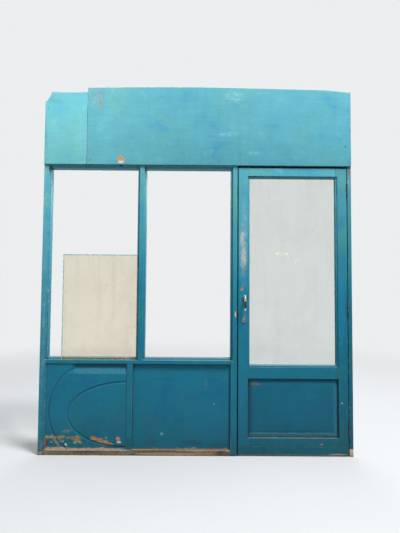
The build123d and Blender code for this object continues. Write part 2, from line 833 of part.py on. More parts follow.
def deadbolt():
    """The square bolt, drawn back, with the talon notch that the key pushes."""
    half = latch_thickness / 2
    z0, z1 = DEADBOLT_SPAN
    tip = x_leaf + latch_setback
    bolt = block(tip, tip + deadbolt_length, y_leaf_mid - half, y_leaf_mid + half, z0, z1)
    notch = block(x_keyhole - talon_width / 2, x_keyhole + talon_width / 2,
                  y_leaf_mid - half, y_leaf_mid + half, z0, z0 + talon_depth)
    return bolt - notch


# Strike plates, let into the edge of the lock post that faces the leaf
STRIKE_SPANS = (LATCH_SPAN, DEADBOLT_SPAN)


def strike_hole(span, depth):
    """The opening that a bolt enters, as deep as asked."""
    half = latch_thickness / 2 + strike_play
    return block(x_rebate - depth, x_rebate, y_leaf_mid - half, y_leaf_mid + half,
                 span[0] - strike_play, span[1] + strike_play)


def strike_blank(span):
    """The outline of a strike plate before its holes."""
    half = strike_width / 2
    return block(x_rebate - strike_thickness, x_rebate, y_leaf_mid - half, y_leaf_mid + half,
                 span[0] - strike_ear, span[1] + strike_ear)


def strike_screws():
    rise = strike_ear - strike_screw_from_end
    return [wood_screw((x_rebate, y_leaf_mid, z), Vector(-1, 0, 0))
            for low, high in STRIKE_SPANS for z in (low - rise, high + rise)]


def strike_pockets():
    """What is cut out of the lock post: a plate recess, a bolt pocket and the screw holes."""
    pockets = [strike_hole(span, strike_pocket_depth) for span in STRIKE_SPANS]
    return pockets + [strike_blank(span) for span in STRIKE_SPANS] + strike_screws()


def strike_plate(span):
    return without(strike_blank(span), strike_hole(span, strike_thickness), *strike_screws())


def all_parts():
    parts = {
        "left_jamb": left_jamb(),
        "mullion": mullion(),
        "lock_post": lock_post(),
        "hinge_jamb": hinge_jamb(),
        "bottom_rail": bottom_rail(),
        "mid_rail": mid_rail(),
        "lower_muntin": lower_muntin(),
        "head_rail": head_rail(),
        "top_rail": top_rail(),
        "carved_panel": carved_panel(),
        "carved_panel_strips": loose(panel_strips(x_jamb, x_muntin,
                                                  y_front + carved_recess + carved_board)),
        "plain_panel": plain_panel(),
        "plain_panel_strips": loose(panel_strips(x_plain, x_lock_post,
                                                 y_front + plain_panel_recess
                                                 + plain_panel_thickness)),
        "offcut_pane": offcut_pane(),
        "latch_strike": strike_plate(LATCH_SPAN),
        "deadlock_strike": strike_plate(DEADBOLT_SPAN),
        "strike_screws": loose(strike_screws()),
        "lock_stile": lock_stile(),
        "hinge_stile": hinge_stile(),
        "door_foot_strip": door_foot_strip(),
        "door_panel": door_panel(),
        "door_glass": door_glass(),
        "latch_case": latch_case(),
        "deadlock_case": deadlock_case(),
        "forend_screws": loose(forend_screws()),
        "front_rose": handle_rose(y_front, -1),
        "back_rose": handle_rose(y_leaf_back, +1),
        "front_keyhole_plate": keyhole_plate(y_front, -1),
        "back_keyhole_plate": keyhole_plate(y_leaf_back, +1),
        "front_lever": lever_handle(y_front, -1),
        "back_lever": lever_handle(y_leaf_back, +1),
        "spindle": spindle(),
        "follower": follower(),
        "latch_bolt": latch_bolt(),
        "deadbolt": deadbolt(),
    }
    nails = fascia_nails()
    parts["fascia_nails"] = loose(nails)
    boards = {"fascia_short_board": fascia_short_board(), "fascia_long_board": fascia_long_board()}
    backing = {name: backing_stud(x) for name, x in STUD_PLACES.items()}
    for name, board in {**boards, **backing}.items():
        parts[name] = without(board, *nails)
    for name in ("left_jamb", "hinge_jamb", "head_rail", "top_rail"):
        parts[name] = without(parts[name], *nails)
    for name in RAIL_SPANS:
        parts[name] = door_rail(name)
    for side, bead in glass_beads().items():
        parts["glass_bead_" + side] = bead
    for name, centre in hinge_centres.items():
        parts[f"hinge_{name}_jamb_plate"] = hinge_leaf_plate(centre, +1)
        parts[f"hinge_{name}_door_plate"] = hinge_leaf_plate(centre, -1)
        parts[f"hinge_{name}_pin"] = hinge_pin(centre)
    for body, side in (("jamb", +1), ("door", -1)):
        screws = [screw for centre in hinge_centres.values() for screw in hinge_screws(centre, side)]
        parts[f"hinge_screws_{body}"] = loose(screws)
    return parts


os.makedirs("parts", exist_ok=True)
for name, part in all_parts().items():
    export_step(part, f"parts/{name}.step")
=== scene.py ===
# The looks of a glazed door in its own timber frame: old turquoise paint over softwood, dusty
# glass and worn metal. Metres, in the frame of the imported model. The unit faces -Y.
import json
import math
import bmesh
import bpy
import numpy as np
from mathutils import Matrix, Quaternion, Vector, noise


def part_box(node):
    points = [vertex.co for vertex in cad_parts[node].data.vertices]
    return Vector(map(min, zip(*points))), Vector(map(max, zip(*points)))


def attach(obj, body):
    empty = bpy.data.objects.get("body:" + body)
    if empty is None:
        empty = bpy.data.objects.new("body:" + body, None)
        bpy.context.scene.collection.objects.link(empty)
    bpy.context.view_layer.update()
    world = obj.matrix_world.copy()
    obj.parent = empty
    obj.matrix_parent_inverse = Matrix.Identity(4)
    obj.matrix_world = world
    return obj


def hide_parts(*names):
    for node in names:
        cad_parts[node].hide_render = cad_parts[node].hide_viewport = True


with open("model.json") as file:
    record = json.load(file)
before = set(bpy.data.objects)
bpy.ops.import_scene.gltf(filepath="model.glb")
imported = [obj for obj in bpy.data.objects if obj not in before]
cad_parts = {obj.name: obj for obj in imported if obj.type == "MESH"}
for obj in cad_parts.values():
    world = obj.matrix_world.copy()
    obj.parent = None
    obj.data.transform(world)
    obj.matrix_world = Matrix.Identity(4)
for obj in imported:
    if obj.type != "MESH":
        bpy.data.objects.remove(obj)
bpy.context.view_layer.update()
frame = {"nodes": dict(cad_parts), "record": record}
NODES = frame["nodes"]
BODY = {node: body for body, nodes in frame["record"]["behaviour"]["bodies"].items() for node in nodes}
SLOT = {part["node"]: part["material_slot"] for part in frame["record"]["subparts"]}
LOW = {name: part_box(name)[0] for name in NODES}
HIGH = {name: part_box(name)[1] for name in NODES}

# Camera, found from the corners and edges of the unit in the photograph
LENS = 28.03
SENSOR_HEIGHT = 36.0
CAMERA_PLACE = (0.0112, -3.1268, 1.2399)
CAMERA_PITCH = math.radians(2.684)
CAMERA_YAW = math.radians(0.199)
CAMERA_ROLL = math.radians(0.42)
CLIP_END = 200.0

# Light and surroundings
SKY_OVERHEAD = 0.95
SKY_LEVEL = 0.16
SKY_COLOUR = (0.94, 0.965, 1.0)
LAMPS = {
    "key": dict(place=(2.8, -2.9, 9.8), aim=(0.0, 0.0, 1.2), size=2.8, watts=1700.0),
    "fill": dict(place=(-4.6, -2.6, 2.6), aim=(0.0, 0.0, 1.2), size=2.4, watts=22.0),
    "back": dict(place=(0.6, 4.4, 4.2), aim=(0.0, 0.0, 1.3), size=3.6, watts=110.0),
}
BACKGROUND = (0.84, 0.85, 0.86)
FLOOR_COLOUR = (0.385, 0.392, 0.398)
FLOOR_BOUNCE = (0.13, 0.13, 0.13)
FLOOR_HALF = 30.0
FLOOR_FADE = (2.6, 6.5)
FLOOR_SPECKLE = 60.0
FLOOR_SWING = 0.05

# Wear of the timber: lengths in metres, turns in radians and scales of noise
WELD = 2e-6
FLAT_TURN = math.radians(1.5)
ARRIS_TURN = math.radians(7)
SHARP_TURN = math.radians(35)
SMOOTH_TURN = math.radians(40)
BEVEL_TURN = math.radians(8)
SHORT_EDGE = 0.020
ARRIS_ROUND = 0.0012
CUT_ALONG = 0.010
CUT_ACROSS = 0.030
CUT_BY_ARRIS = 0.005
CUT_TOLERANCE = 1e-6
WAVE_DEPTH = 0.00035
WAVE_SCALE = 4.0
NICK_SCALE = 26.0
NICK_START = 0.12
NICK_SWING = 0.55
FULL_NICK = 0.0012
OWN_SHIFT = (0.37, 0.71, 1.13)
HARDWARE_MARGIN = 0.006

# Carving of the old raised panel, measured from the lower left corner of its board
CARVED_GRID = 0.0025
CARVED_RELIEF = 0.006
CORNER_DROP = 0.001
FIELD_MARGIN = 0.0325
FIELD_BEVEL = 0.042
ARCH_CENTRE = (0.3725, 0.278)
ARCH_RADIUS = 0.350
ARCH_END = 0.1
OVAL_CENTRE_RISE = 0.251
OVAL_HALF = (0.430, 0.234)
GROOVE_HALF = 0.0075
GROOVE_DEPTH = 0.004
FULL_HOLLOW = GROOVE_DEPTH * 0.6
SOFTENING = 2
TOOL_MARKS = 0.0004
TOOL_SCALE = (22, 40)

# Cast levers and nipped glass
CASTING_GRID = 0.0009
CASTING_SMOOTHING = 7
PANE_STEP = 0.004
PANE_NIBBLE = 0.0022
NIBBLE_SCALE = 60
ON_EDGE = 1e-4

# Patterns of the painted timber: scales of noise, where a larger one is finer
FIBRE_SQUEEZE = 0.06
WOOD_BANDS = 34.0
WOOD_LINES = 160.0
GREEN_AREAS = 3.1
CLOUDS = 5.5
BRUSH_MARKS = 95.0
BRISTLES = 230.0
RUBBED_AREAS = 13.0
RUN_MARKS = 26.0
CRAZED_AREAS = 7.0
CRAZE_CELLS = 95.0
FLAKES = 38.0
SMALL_FLAKES = 24.0
PRIMER_SPOTS = 60.0
FOOT_EDGE = 20.0
FOOT_GAPS = 11.0
BAND_FLAKES = 34.0
BAND_HUES = 23.0
MOTTLING = 75.0
CHIP_GRAIN = 110.0
GROOVE_DIRT_AND_SHADE = 5.0
SPATTER = 14.0
RIM_WOBBLES = 1.8

# Amounts of the finishes: shades, reaches in metres and depths in millimetres
RIM_SWING = 5.0
CLOUD_SHADE = 0.30
BRUSH_SHADE = 0.18
STRONGEST_STAIN = 0.9
ENAMEL_ROUGHNESS = 0.34
ARRIS_REACH = 0.004
CORNER_SHADE_REACH = 0.03
METAL_SHADE_REACH = 0.008
SPLASH_TOP = 0.45
BRUSH_DEPTH = 0.16
BRISTLE_DEPTH = 0.07
FLAKE_DEPTH = 0.12
CRAZE_DEPTH = 0.12
COAT_THICKNESS = 0.32

# Patterns of bare wood, glass and metal
WOOD_CLOUDS = 6.0
KNOTS = 9.0
SAW_MARKS = 120.0
SAWN_FIBRES = 150.0
GLASS_RUNS = 14.0
GLASS_CLOUDS = 3.2
GLASS_SPECKS = 160.0
GLASS_WAVES = 6.0
GLASS_SHADOW = (0.86, 0.88, 0.86, 1.0)
RIM_DOTS = 75.0
RIM_GAPS = 40.0
RIM_HUES = 48.0
TARNISH = 60.0
PITTING = 420.0
RUST_SPOTS = 95.0
PAINT_SMEARS = 70.0


def srgb(red, green, blue):
    """A colour given as it shows on a screen, 0 to 255, as the shader's linear numbers."""
    def linear(value):
        value /= 255
        return value / 12.92 if value <= 0.04045 else ((value + 0.055) / 1.055) ** 2.4
    return (linear(red), linear(green), linear(blue), 1.0)


# Colours of the finishes
# Paint lighter with height: partly its own colour, partly painted light from above
PAINT_AND_LIGHT_BY_HEIGHT = [(0.00, srgb(24, 92, 110)), (0.30, srgb(27, 105, 132)), (0.80, srgb(26, 114, 139)),
                   (1.20, srgb(28, 124, 148)), (1.70, srgb(66, 150, 170)), (2.15, srgb(84, 164, 182)),
                   (2.40, srgb(92, 176, 194)), (2.75, srgb(98, 182, 198))]
CHALK = srgb(142, 182, 190)
PALE_BLUE = srgb(150, 188, 204)
RUBBED_CYAN = srgb(146, 210, 216)
BRIGHT_BLUE = srgb(38, 138, 186)
TURQUOISE = srgb(74, 170, 172)
GREY_PURPLE = srgb(118, 122, 136)
WORN_GREY = srgb(122, 134, 130)
BARE_WOOD = srgb(160, 134, 102)
OLD_WOOD = srgb(104, 88, 70)
WET_WOOD = srgb(86, 74, 58)
DAMP_WOOD = srgb(150, 130, 103)
CREAM_WOOD = srgb(184, 162, 134)
PLY_BACK = srgb(176, 144, 104)
PRIMER = srgb(214, 206, 190)
RED_BROWN = srgb(112, 66, 46)
ORANGE_TAN = srgb(190, 138, 94)
PEACH = srgb(214, 162, 118)
CREAM = srgb(236, 226, 208)
PINK = srgb(176, 118, 108)
STAIN = srgb(120, 96, 78)
LIGHT_STAIN = srgb(172, 172, 162)
GREY_PINK = srgb(146, 134, 132)
GREEN_TAN = srgb(140, 146, 108)
CREAM_PINK = srgb(198, 172, 154)
RUST_PINK = srgb(146, 104, 82)
OLIVE = srgb(116, 108, 78)
# Painted highlight and painted shade on panel bevels
BEVEL_HIGHLIGHT = srgb(84, 146, 164)
BEVEL_SHADE = srgb(32, 70, 86)
DARK_CRACK = srgb(84, 66, 52)
MUD = srgb(76, 78, 74)
DUST = srgb(102, 100, 90)
# Dark grime, also used as painted shade in corners, grooves and under the mid rail
DIRT_AND_SHADE = srgb(44, 46, 44)
# Painted dark reflection on the chrome levers
DARK_REFLECTION = srgb(34, 30, 36)
WARM_GLASS = srgb(240, 232, 214)
CLEAR_GLASS = srgb(228, 233, 229)

# Factors for red, green and blue where the paint has changed, and where painted sunlight lightens it
GREENER = (1.45, 1.08, 0.80, 1.0)
BLUER = (0.80, 0.96, 1.12, 1.0)
CHALKIER = (2.2, 1.45, 1.3, 1.0)
SUNLIGHT_TINT = (1.45, 1.25, 1.18, 1.0)


class Graph:
    """The nodes of a tree, written as sums."""

    def __init__(self, tree):
        self.tree = tree

    def put(self, socket, value):
        """Links a socket to another node's output, or gives it a value."""
        if isinstance(value, bpy.types.NodeSocket):
            self.tree.links.new(value, socket)
        else:
            socket.default_value = value

    def add(self, kind, settings=(), **inputs):
        """A new node with its settings and inputs."""
        node = self.tree.nodes.new("ShaderNode" + kind)
        for key, value in dict(settings).items():
            setattr(node, key, value)
        for key, value in inputs.items():
            self.put(node.inputs[key], value)
        return node

    def math(self, operation, *values):
        node = self.add("Math", {"operation": operation})
        for socket, value in zip(node.inputs, values):
            self.put(socket, value)
        return node.outputs[0]

    def chain(self, operation, values):
        """One operation over any number of values."""
        result = values[0]
        for value in values[1:]:
            result = self.math(operation, result, value)
        return result

    def sum(self, *values):
        """Heights or shades added together."""
        return self.chain("ADD", values)

    def times(self, *values):
        """Several masks multiplied together."""
        return self.chain("MULTIPLY", values)

    def most(self, *values):
        """The largest of several masks."""
        return self.chain("MAXIMUM", values)

    def vector(self, operation, *values):
        node = self.add("VectorMath", {"operation": operation})
        for socket, value in zip(node.inputs, values):
            self.put(socket, value)
        return node.outputs["Value" if operation in ("LENGTH", "DOT_PRODUCT") else "Vector"]

    def axis(self, vector, letter):
        return self.add("SeparateXYZ", Vector=vector).outputs[letter]

    def attribute(self, name, output):
        return self.add("Attribute", {"attribute_name": name}).outputs[output]

    def noise(self, where, scale, detail=3.0, rough=0.5, bend=0.0):
        node = self.add("TexNoise", Vector=where, Scale=scale, Detail=detail, Roughness=rough,
                        Distortion=bend)
        return node.outputs[0]

    def cracks(self, where, scale, width):
        """Thin lines between cells, as in old enamel."""
        node = self.add("TexVoronoi", {"feature": "DISTANCE_TO_EDGE"}, Vector=where, Scale=scale)
        return self.step(node.outputs["Distance"], width, 0.0)

    def step(self, value, start, end, low=0.0, high=1.0):
        """A smooth change from low to high as the value goes from start to end."""
        node = self.add("MapRange", {"interpolation_type": "SMOOTHSTEP"})
        for socket, number in zip(node.inputs, (value, start, end, low, high)):
            self.put(socket, number)
        return node.outputs[0]

    def mix(self, share, first, second, blend="MIX"):
        node = self.add("Mix", {"data_type": "RGBA", "blend_type": blend})
        for index, value in ((0, share), (6, first), (7, second)):
            self.put(node.inputs[index], value)
        return node.outputs[2]

    def tint(self, colour, value):
        """A colour made lighter or darker by a number round 1."""
        grey = self.add("CombineColor", Red=value, Green=value, Blue=value).outputs[0]
        return self.mix(1.0, colour, grey, "MULTIPLY")

    def ramp(self, value, stops):
        """A colour that follows a value through named stops."""
        last = stops[-1][0]
        node = self.add("ValToRGB", Fac=self.math("DIVIDE", value, last))
        band = node.color_ramp
        while len(band.elements) < len(stops):
            band.elements.new(0.5)
        for element, (position, colour) in zip(band.elements, stops):
            element.position = position / last
            element.color = colour
        return node.outputs[0]

    def looking(self):
        """1 for rays that look, also in a mirror and through glass, and 0 for light."""
        rays = self.add("LightPath").outputs
        return self.most(rays["Is Camera Ray"], rays["Is Glossy Ray"], rays["Is Transmission Ray"])

    def blend(self, share, first, second, output):
        """Mixes two shaders, with a share of the second one, into an output."""
        pick = self.add("MixShader", Fac=share)
        self.put(pick.inputs[1], first)
        self.put(pick.inputs[2], second)
        self.put(output.inputs[0], pick.outputs[0])


class Surface(Graph):
    """A material with one main shader, in the object's coordinates."""

    def __init__(self, name):
        self.material = bpy.data.materials.new(name)
        self.material.use_nodes = True
        super().__init__(self.material.node_tree)
        self.shader = self.tree.nodes["Principled BSDF"]
        coordinates = self.add("TexCoord")
        self.place = coordinates.outputs["Object"]
        self.facing = coordinates.outputs["Normal"]

    def relief(self, height):
        """Turns a height in millimetres into the shader's normal."""
        node = self.add("Bump", Height=height, Strength=1.0, Distance=0.001)
        self.put(self.shader.inputs["Normal"], node.outputs[0])

    def finish(self, **inputs):
        """Sets the shader's inputs and hands the material back."""
        for key, value in inputs.items():
            self.put(self.shader.inputs[key.replace("_", " ")], value)
        return self.material

    def swap(self, share, other):
        """Lets another shader take the main one's place by its share."""
        self.blend(share, self.shader.outputs[0], other, self.tree.nodes["Material Output"])
        return self.material


class Timber(Surface):
    """A material with a grain, in coordinates that each piece has for itself."""

    def __init__(self, name, along):
        super().__init__(name)
        self.along = along
        self.where = self.vector("ADD", self.place, self.attribute("own_shift", "Vector"))
        self.fibres = self.stretched(self.where, FIBRE_SQUEEZE)
        self.upward = self.step(self.axis(self.facing, "Z"), 0.5, 0.8)

    def stretched(self, where, squeeze):
        """Coordinates squeezed along the grain, so that noise on them draws long marks."""
        factors = tuple(squeeze if letter == self.along else 1.0 for letter in "XYZ")
        return self.vector("MULTIPLY", where, factors)


# Masks and woods that the finishes share

def patch_distance(g, x, z, wide, high, turn, ragged, straight):
    """0 in the middle of a ragged spot or band on the front, 1 at its rim; metres and degrees."""
    offset = g.vector("SUBTRACT", g.place, (x, 0.0, z))
    turned = g.add("VectorRotate", {"rotation_type": "Y_AXIS"}, Vector=offset,
                   Angle=math.radians(turn)).outputs[0]
    flat = g.vector("MULTIPLY", turned, (2 / wide, 0.0, 2 / high))
    wobble = g.noise(g.place, RIM_WOBBLES / min(wide, high), 5.0, 0.62, 0.4)
    if straight:
        reach = g.vector("ABSOLUTE", flat)
        reach = g.most(g.axis(reach, "X"), g.axis(reach, "Z"))
    else:
        reach = g.vector("LENGTH", flat)
    return g.sum(reach, g.times(g.math("SUBTRACT", wobble, 0.5), RIM_SWING * ragged))


def mark(x, z, wide, high, colour, turn=0.0, ragged=0.5, strength=1.0, straight=False, specks=0.0):
    """A patch on the front, in millimetres. ragged is its rim, straight makes a band, specks a scuff."""
    place = dict(x=x / 1000, z=z / 1000, wide=wide / 1000, high=high / 1000, turn=turn, ragged=ragged,
                 straight=straight)
    return place, colour, strength, specks


def wood_colour(g, dark, light):
    """Softwood: long soft bands with fine dark lines in them."""
    bands = g.noise(g.fibres, WOOD_BANDS, 3.0, 0.55, 0.6)
    lines = g.noise(g.fibres, WOOD_LINES, 2.0, 0.5)
    return g.mix(g.step(g.sum(bands, g.times(lines, 0.35)), 0.45, 0.85), dark, light)


# Enamel on timber, from the sound coat outwards

def sound_paint(g, height, clouds, brushed, tone, green, painted_sunlight):
    """The coat: lighter with height, partly its own fading and partly painted light from above, greener and
    bluer areas, cloudy coats and brush marks.
    """
    colour = g.ramp(height, PAINT_AND_LIGHT_BY_HEIGHT)
    greener = g.step(g.noise(g.where, GREEN_AREAS, 3.0, 0.6), 0.42, 0.66)
    colour = g.mix(g.times(greener, green), colour, GREENER, "MULTIPLY")
    colour = g.mix(g.step(clouds, 0.44, 0.30), colour, BLUER, "MULTIPLY")
    # Painted sunlight: the paint made paler towards one side, where sun fell on it
    if painted_sunlight:
        start, end = painted_sunlight
        colour = g.mix(g.step(g.axis(g.place, "X"), start, end), colour, SUNLIGHT_TINT, "MULTIPLY")
    shade = g.sum(g.times(clouds, CLOUD_SHADE), g.times(brushed, BRUSH_SHADE),
                  tone - (CLOUD_SHADE + BRUSH_SHADE) / 2)
    return g.tint(colour, shade)


def lost_paint(g, height, low_down, flaking, chipped, bare_below, bare_share):
    """Where the coat is gone: on arrises, in nicks, in small flakes near the ground, at a bare foot."""
    rounded = g.add("Bevel", {"samples": 4}, Radius=ARRIS_REACH).outputs[0]
    true_normal = g.add("NewGeometry").outputs["Normal"]
    corner = g.times(g.step(g.vector("DOT_PRODUCT", rounded, true_normal), 0.985, 0.86), chipped)
    nicked = g.times(g.attribute("wear", "Fac"), chipped)
    small = g.noise(g.where, SMALL_FLAKES, 6.0, 0.68, 0.3)
    lost = g.most(
        g.times(g.step(g.sum(flaking, g.times(corner, 0.20)), 0.66, 0.69), g.step(corner, 0.1, 0.3)),
        g.step(g.sum(nicked, g.times(flaking, 0.5)), 0.62, 0.68),
        g.step(g.sum(small, g.times(low_down, 0.06 * chipped)), 0.745, 0.755))
    if bare_below:
        ragged = g.sum(height, g.times(g.noise(g.where, FOOT_EDGE, 5.0, 0.7), 0.05))
        gaps = g.step(g.noise(g.where, FOOT_GAPS, 5.0, 0.7), 0.62, 0.60, 1.0 - bare_share, 1.0)
        lost = g.most(lost, g.times(g.step(ragged, bare_below + 0.035, bare_below + 0.025), gaps))
    return lost


def flaked_band(g, colour, lost, height, front, start, end, bottom, top):
    """A band of the front where the paint hangs on in scraps."""
    across = g.axis(g.place, "X")
    band = g.times(g.step(across, start, start + 0.05), g.step(across, end, end - 0.06),
                   g.step(height, bottom - 0.02, bottom + 0.01), g.step(height, top + 0.02, top - 0.02),
                   front)
    loose = g.noise(g.vector("MULTIPLY", g.place, (0.6, 1.0, 1.0)), BAND_FLAKES, 5.0, 0.62, 0.5)
    flakes = g.times(g.step(g.sum(loose, g.times(band, 0.12)), 0.655, 0.662), band)
    bare = g.mix(g.step(g.noise(g.place, BAND_HUES, 4.0, 0.6), 0.40, 0.50), GREEN_TAN, BARE_WOOD)
    return g.mix(flakes, colour, bare), g.most(lost, flakes)


def with_marks(g, colour, lost, front, marks):
    """Adds the marks to the front: soft scuffs, stains, and chips that show the wood."""
    mottled = g.noise(g.place, MOTTLING, 4.0, 0.65)
    grain = g.noise(g.fibres, CHIP_GRAIN, 4.0, 0.6)
    for place, mark_colour, strength, specks in marks:
        distance = patch_distance(g, **place)
        if specks:
            fine = g.noise(g.stretched(g.place, 0.5), specks, 7.0, 0.78)
            spot = g.times(g.step(distance, 1.06, 0.2), g.step(fine, 0.40, 0.66, 0.25, 1.0))
        else:
            spot = g.step(distance, 1.03, 0.98)
        spot = g.times(spot, front, strength)
        shaded = g.mix(g.step(mottled, 0.42, 0.60), mark_colour, g.tint(mark_colour, 0.66))
        if strength > STRONGEST_STAIN and not specks:
            spot = g.times(spot, g.step(mottled, 0.33, 0.35))
            shaded = g.mix(g.times(g.step(grain, 0.54, 0.40), 0.6), shaded, OLD_WOOD)
            lost = g.most(lost, spot)
        colour = g.mix(spot, colour, shaded)
    return colour, lost


def soiled(g, colour, low_down, flaking, splash, dusty):
    """Dirt and painted shade in corners and carved grooves, splashes low down and dust on what faces up."""
    # Painted shade: ambient occlusion and the grooves' hollowness darken corners and grooves, mixed with
    # real dirt
    closed = g.add("AmbientOcclusion", {"samples": 6}, Distance=CORNER_SHADE_REACH).outputs["AO"]
    corner_dirt_and_shade = g.times(g.step(closed, 0.82, 0.38), g.step(flaking, 0.22, 0.60), 0.75)
    dirt_and_shade_in_grooves = g.step(g.noise(g.where, GROOVE_DIRT_AND_SHADE, 2.0), 0.36, 0.60, 0.08, 0.42)
    hollow = g.times(g.attribute("hollow", "Fac"), dirt_and_shade_in_grooves)
    colour = g.mix(g.most(corner_dirt_and_shade, hollow), colour, DIRT_AND_SHADE)
    spatter = g.times(low_down, g.step(g.noise(g.where, SPATTER, 5.0, 0.7), 0.38, 0.80), splash)
    colour = g.mix(spatter, colour, MUD)
    return g.mix(g.times(g.upward, dusty), colour, DUST)


def paint(name, along="Z", tone=1.0, green=0.45, chalky=0.3, chipped=0.5, streaks=0.12, splash=0.15,
          crazing=0.45, bare_below=0.0, bare_share=1.0, bare_back=False, painted_sunlight=None, primer=0.55,
          woods=(OLD_WOOD, BARE_WOOD), flaked=None, dusty=0.6, marks=()):
    """Old brushed enamel over softwood. along is the grain's axis, tone is how light the paint is,
    bare_below is a height, and bleached, a painted pool of sunlight, and flaked are places in metres. Other
    numbers are shares.
    """
    g = Timber(name, along)
    height = g.axis(g.place, "Z")
    front = g.step(g.axis(g.facing, "Y"), -0.3, -0.6)
    low_down = g.step(height, SPLASH_TOP, 0.02)
    clouds = g.noise(g.where, CLOUDS, 4.0, 0.62, 0.4)
    brushed = g.noise(g.fibres, BRUSH_MARKS, 3.0, 0.6)
    rubbed = g.step(g.noise(g.where, RUBBED_AREAS, 5.0, 0.66, 0.3), 0.54, 0.74)
    runs = g.noise(g.vector("MULTIPLY", g.where, (1.0, 1.0, 0.05)), RUN_MARKS, 3.0, 0.55)
    crazed = g.times(g.cracks(g.stretched(g.where, 0.4), CRAZE_CELLS, 0.035),
                     g.step(g.noise(g.where, CRAZED_AREAS, 3.0, 0.6), 0.50, 0.62))
    flaking = g.noise(g.where, FLAKES, 5.0, 0.62, 0.2)

    colour = sound_paint(g, height, clouds, brushed, tone, green, painted_sunlight)
    colour = g.mix(g.times(rubbed, chalky), colour, CHALKIER, "MULTIPLY")
    colour = g.mix(g.times(g.step(runs, 0.55, 0.74), streaks), colour, DIRT_AND_SHADE)
    colour = g.mix(g.times(crazed, crazing), colour, DIRT_AND_SHADE)

    lost = lost_paint(g, height, low_down, flaking, chipped, bare_below, bare_share)
    primed = g.step(g.noise(g.where, PRIMER_SPOTS, 3.0, 0.6), 0.5, 0.62)
    wood = g.mix(g.times(primed, primer), wood_colour(g, *woods), PRIMER)
    colour = g.mix(lost, colour, wood)
    if flaked:
        colour, lost = flaked_band(g, colour, lost, height, front, *flaked)
    colour, lost = with_marks(g, colour, lost, front, marks)
    if bare_back:
        behind = g.most(g.step(g.axis(g.facing, "Y"), 0.3, 0.6), g.upward)
        colour = g.mix(behind, colour, wood_colour(g, STAIN, PLY_BACK))
        lost = g.most(lost, behind)
    colour = soiled(g, colour, low_down, flaking, splash, dusty)

    g.relief(g.sum(g.times(brushed, BRUSH_DEPTH), g.times(g.noise(g.fibres, BRISTLES, 2.0), BRISTLE_DEPTH),
                   g.times(flaking, FLAKE_DEPTH), g.times(crazed, -CRAZE_DEPTH),
                   g.times(lost, -COAT_THICKNESS)))
    sheen = g.sum(ENAMEL_ROUGHNESS, g.times(clouds, 0.24), g.times(rubbed, 0.16))
    return g.finish(Base_Color=colour, Specular_IOR_Level=0.14,
                    Roughness=g.most(sheen, g.times(lost, 0.86), g.times(g.upward, 0.75)))


# Other finishes

def softwood(name, along):
    """Sawn softwood left bare, grey with dust."""
    g = Timber(name, along)
    colour = wood_colour(g, OLD_WOOD, BARE_WOOD)
    colour = g.tint(colour, g.sum(0.72, g.times(g.noise(g.where, WOOD_CLOUDS, 4.0, 0.6), 0.5)))
    knot = g.step(g.noise(g.stretched(g.where, 0.4), KNOTS, 1.0), 0.72, 0.78)
    colour = g.mix(g.times(knot, 0.7), colour, RED_BROWN)
    colour = g.mix(g.times(g.upward, 0.6), colour, DUST)
    sawn = g.noise(g.stretched(g.where, 6.0), SAW_MARKS, 2.0, 0.6)
    g.relief(g.sum(g.times(g.noise(g.fibres, SAWN_FIBRES, 3.0), 0.25), g.times(sawn, 0.18)))
    return g.finish(Base_Color=colour, Specular_IOR_Level=0.2,
                    Roughness=g.sum(0.78, g.times(sawn, 0.12)))


def painted_border(g, low, high, wide):
    """Old paint on the left and top rim of a pane, and how much of it is left where."""
    left = g.step(g.axis(g.place, "X"), low.x + wide, low.x + wide * 0.7)
    top = g.step(g.axis(g.place, "Z"), high.z - wide, high.z - wide * 0.7)
    on_left = g.times(left, g.step(g.noise(g.place, RIM_DOTS, 4.0, 0.65), 0.40, 0.47))
    on_top = g.times(top, g.step(g.noise(g.place, RIM_GAPS, 3.0), 0.36, 0.42))
    pale = g.step(g.noise(g.place, RIM_HUES, 3.0, 0.6), 0.50, 0.62)
    return g.most(on_left, on_top), g.mix(g.times(pale, 0.7), TURQUOISE, PRIMER)


def dusty_glass(name, film, tint, painted_rim=0.0, smears=()):
    """Float glass under a film of dust, which lets lamps through; the rim is its painted border."""
    g = Surface(name)
    runs = g.noise(g.vector("MULTIPLY", g.place, (1.0, 1.0, 0.12)), GLASS_RUNS, 4.0, 0.6)
    cloud = g.noise(g.place, GLASS_CLOUDS, 4.0, 0.62, 0.5)
    specks = g.step(g.noise(g.place, GLASS_SPECKS, 2.0, 0.5), 0.70, 0.76)
    settled = g.sum(g.times(g.step(cloud, 0.40, 0.74), 0.6), g.times(g.step(runs, 0.48, 0.7), 0.4))
    cover = g.most(g.times(settled, film), g.times(specks, film))
    colour = g.mix(cover, tint, DUST)
    for place, smear_colour, strength, fineness in smears:
        fine = g.step(g.noise(g.place, fineness, 5.0, 0.7), 0.40, 0.50)
        smear = g.times(g.step(patch_distance(g, **place), 1.06, 0.7), fine, strength)
        colour = g.mix(smear, colour, smear_colour)
        cover = g.most(cover, smear)
    if painted_rim:
        rim, rim_colour = painted_border(g, LOW[name], HIGH[name], painted_rim)
        colour = g.mix(rim, colour, rim_colour)
        cover = g.most(cover, rim)
    g.relief(g.sum(g.times(g.noise(g.place, GLASS_WAVES, 1.0), 0.8), g.times(cover, 0.05)))
    g.finish(Base_Color=colour, Transmission_Weight=g.step(cover, 0.0, 1.0, 1.0, 0.0),
             Roughness=g.sum(0.02, g.times(cover, 0.45)))
    lamps = g.add("LightPath").outputs["Is Shadow Ray"]
    through = g.add("BsdfTransparent", Color=GLASS_SHADOW).outputs[0]
    return g.swap(lamps, through)


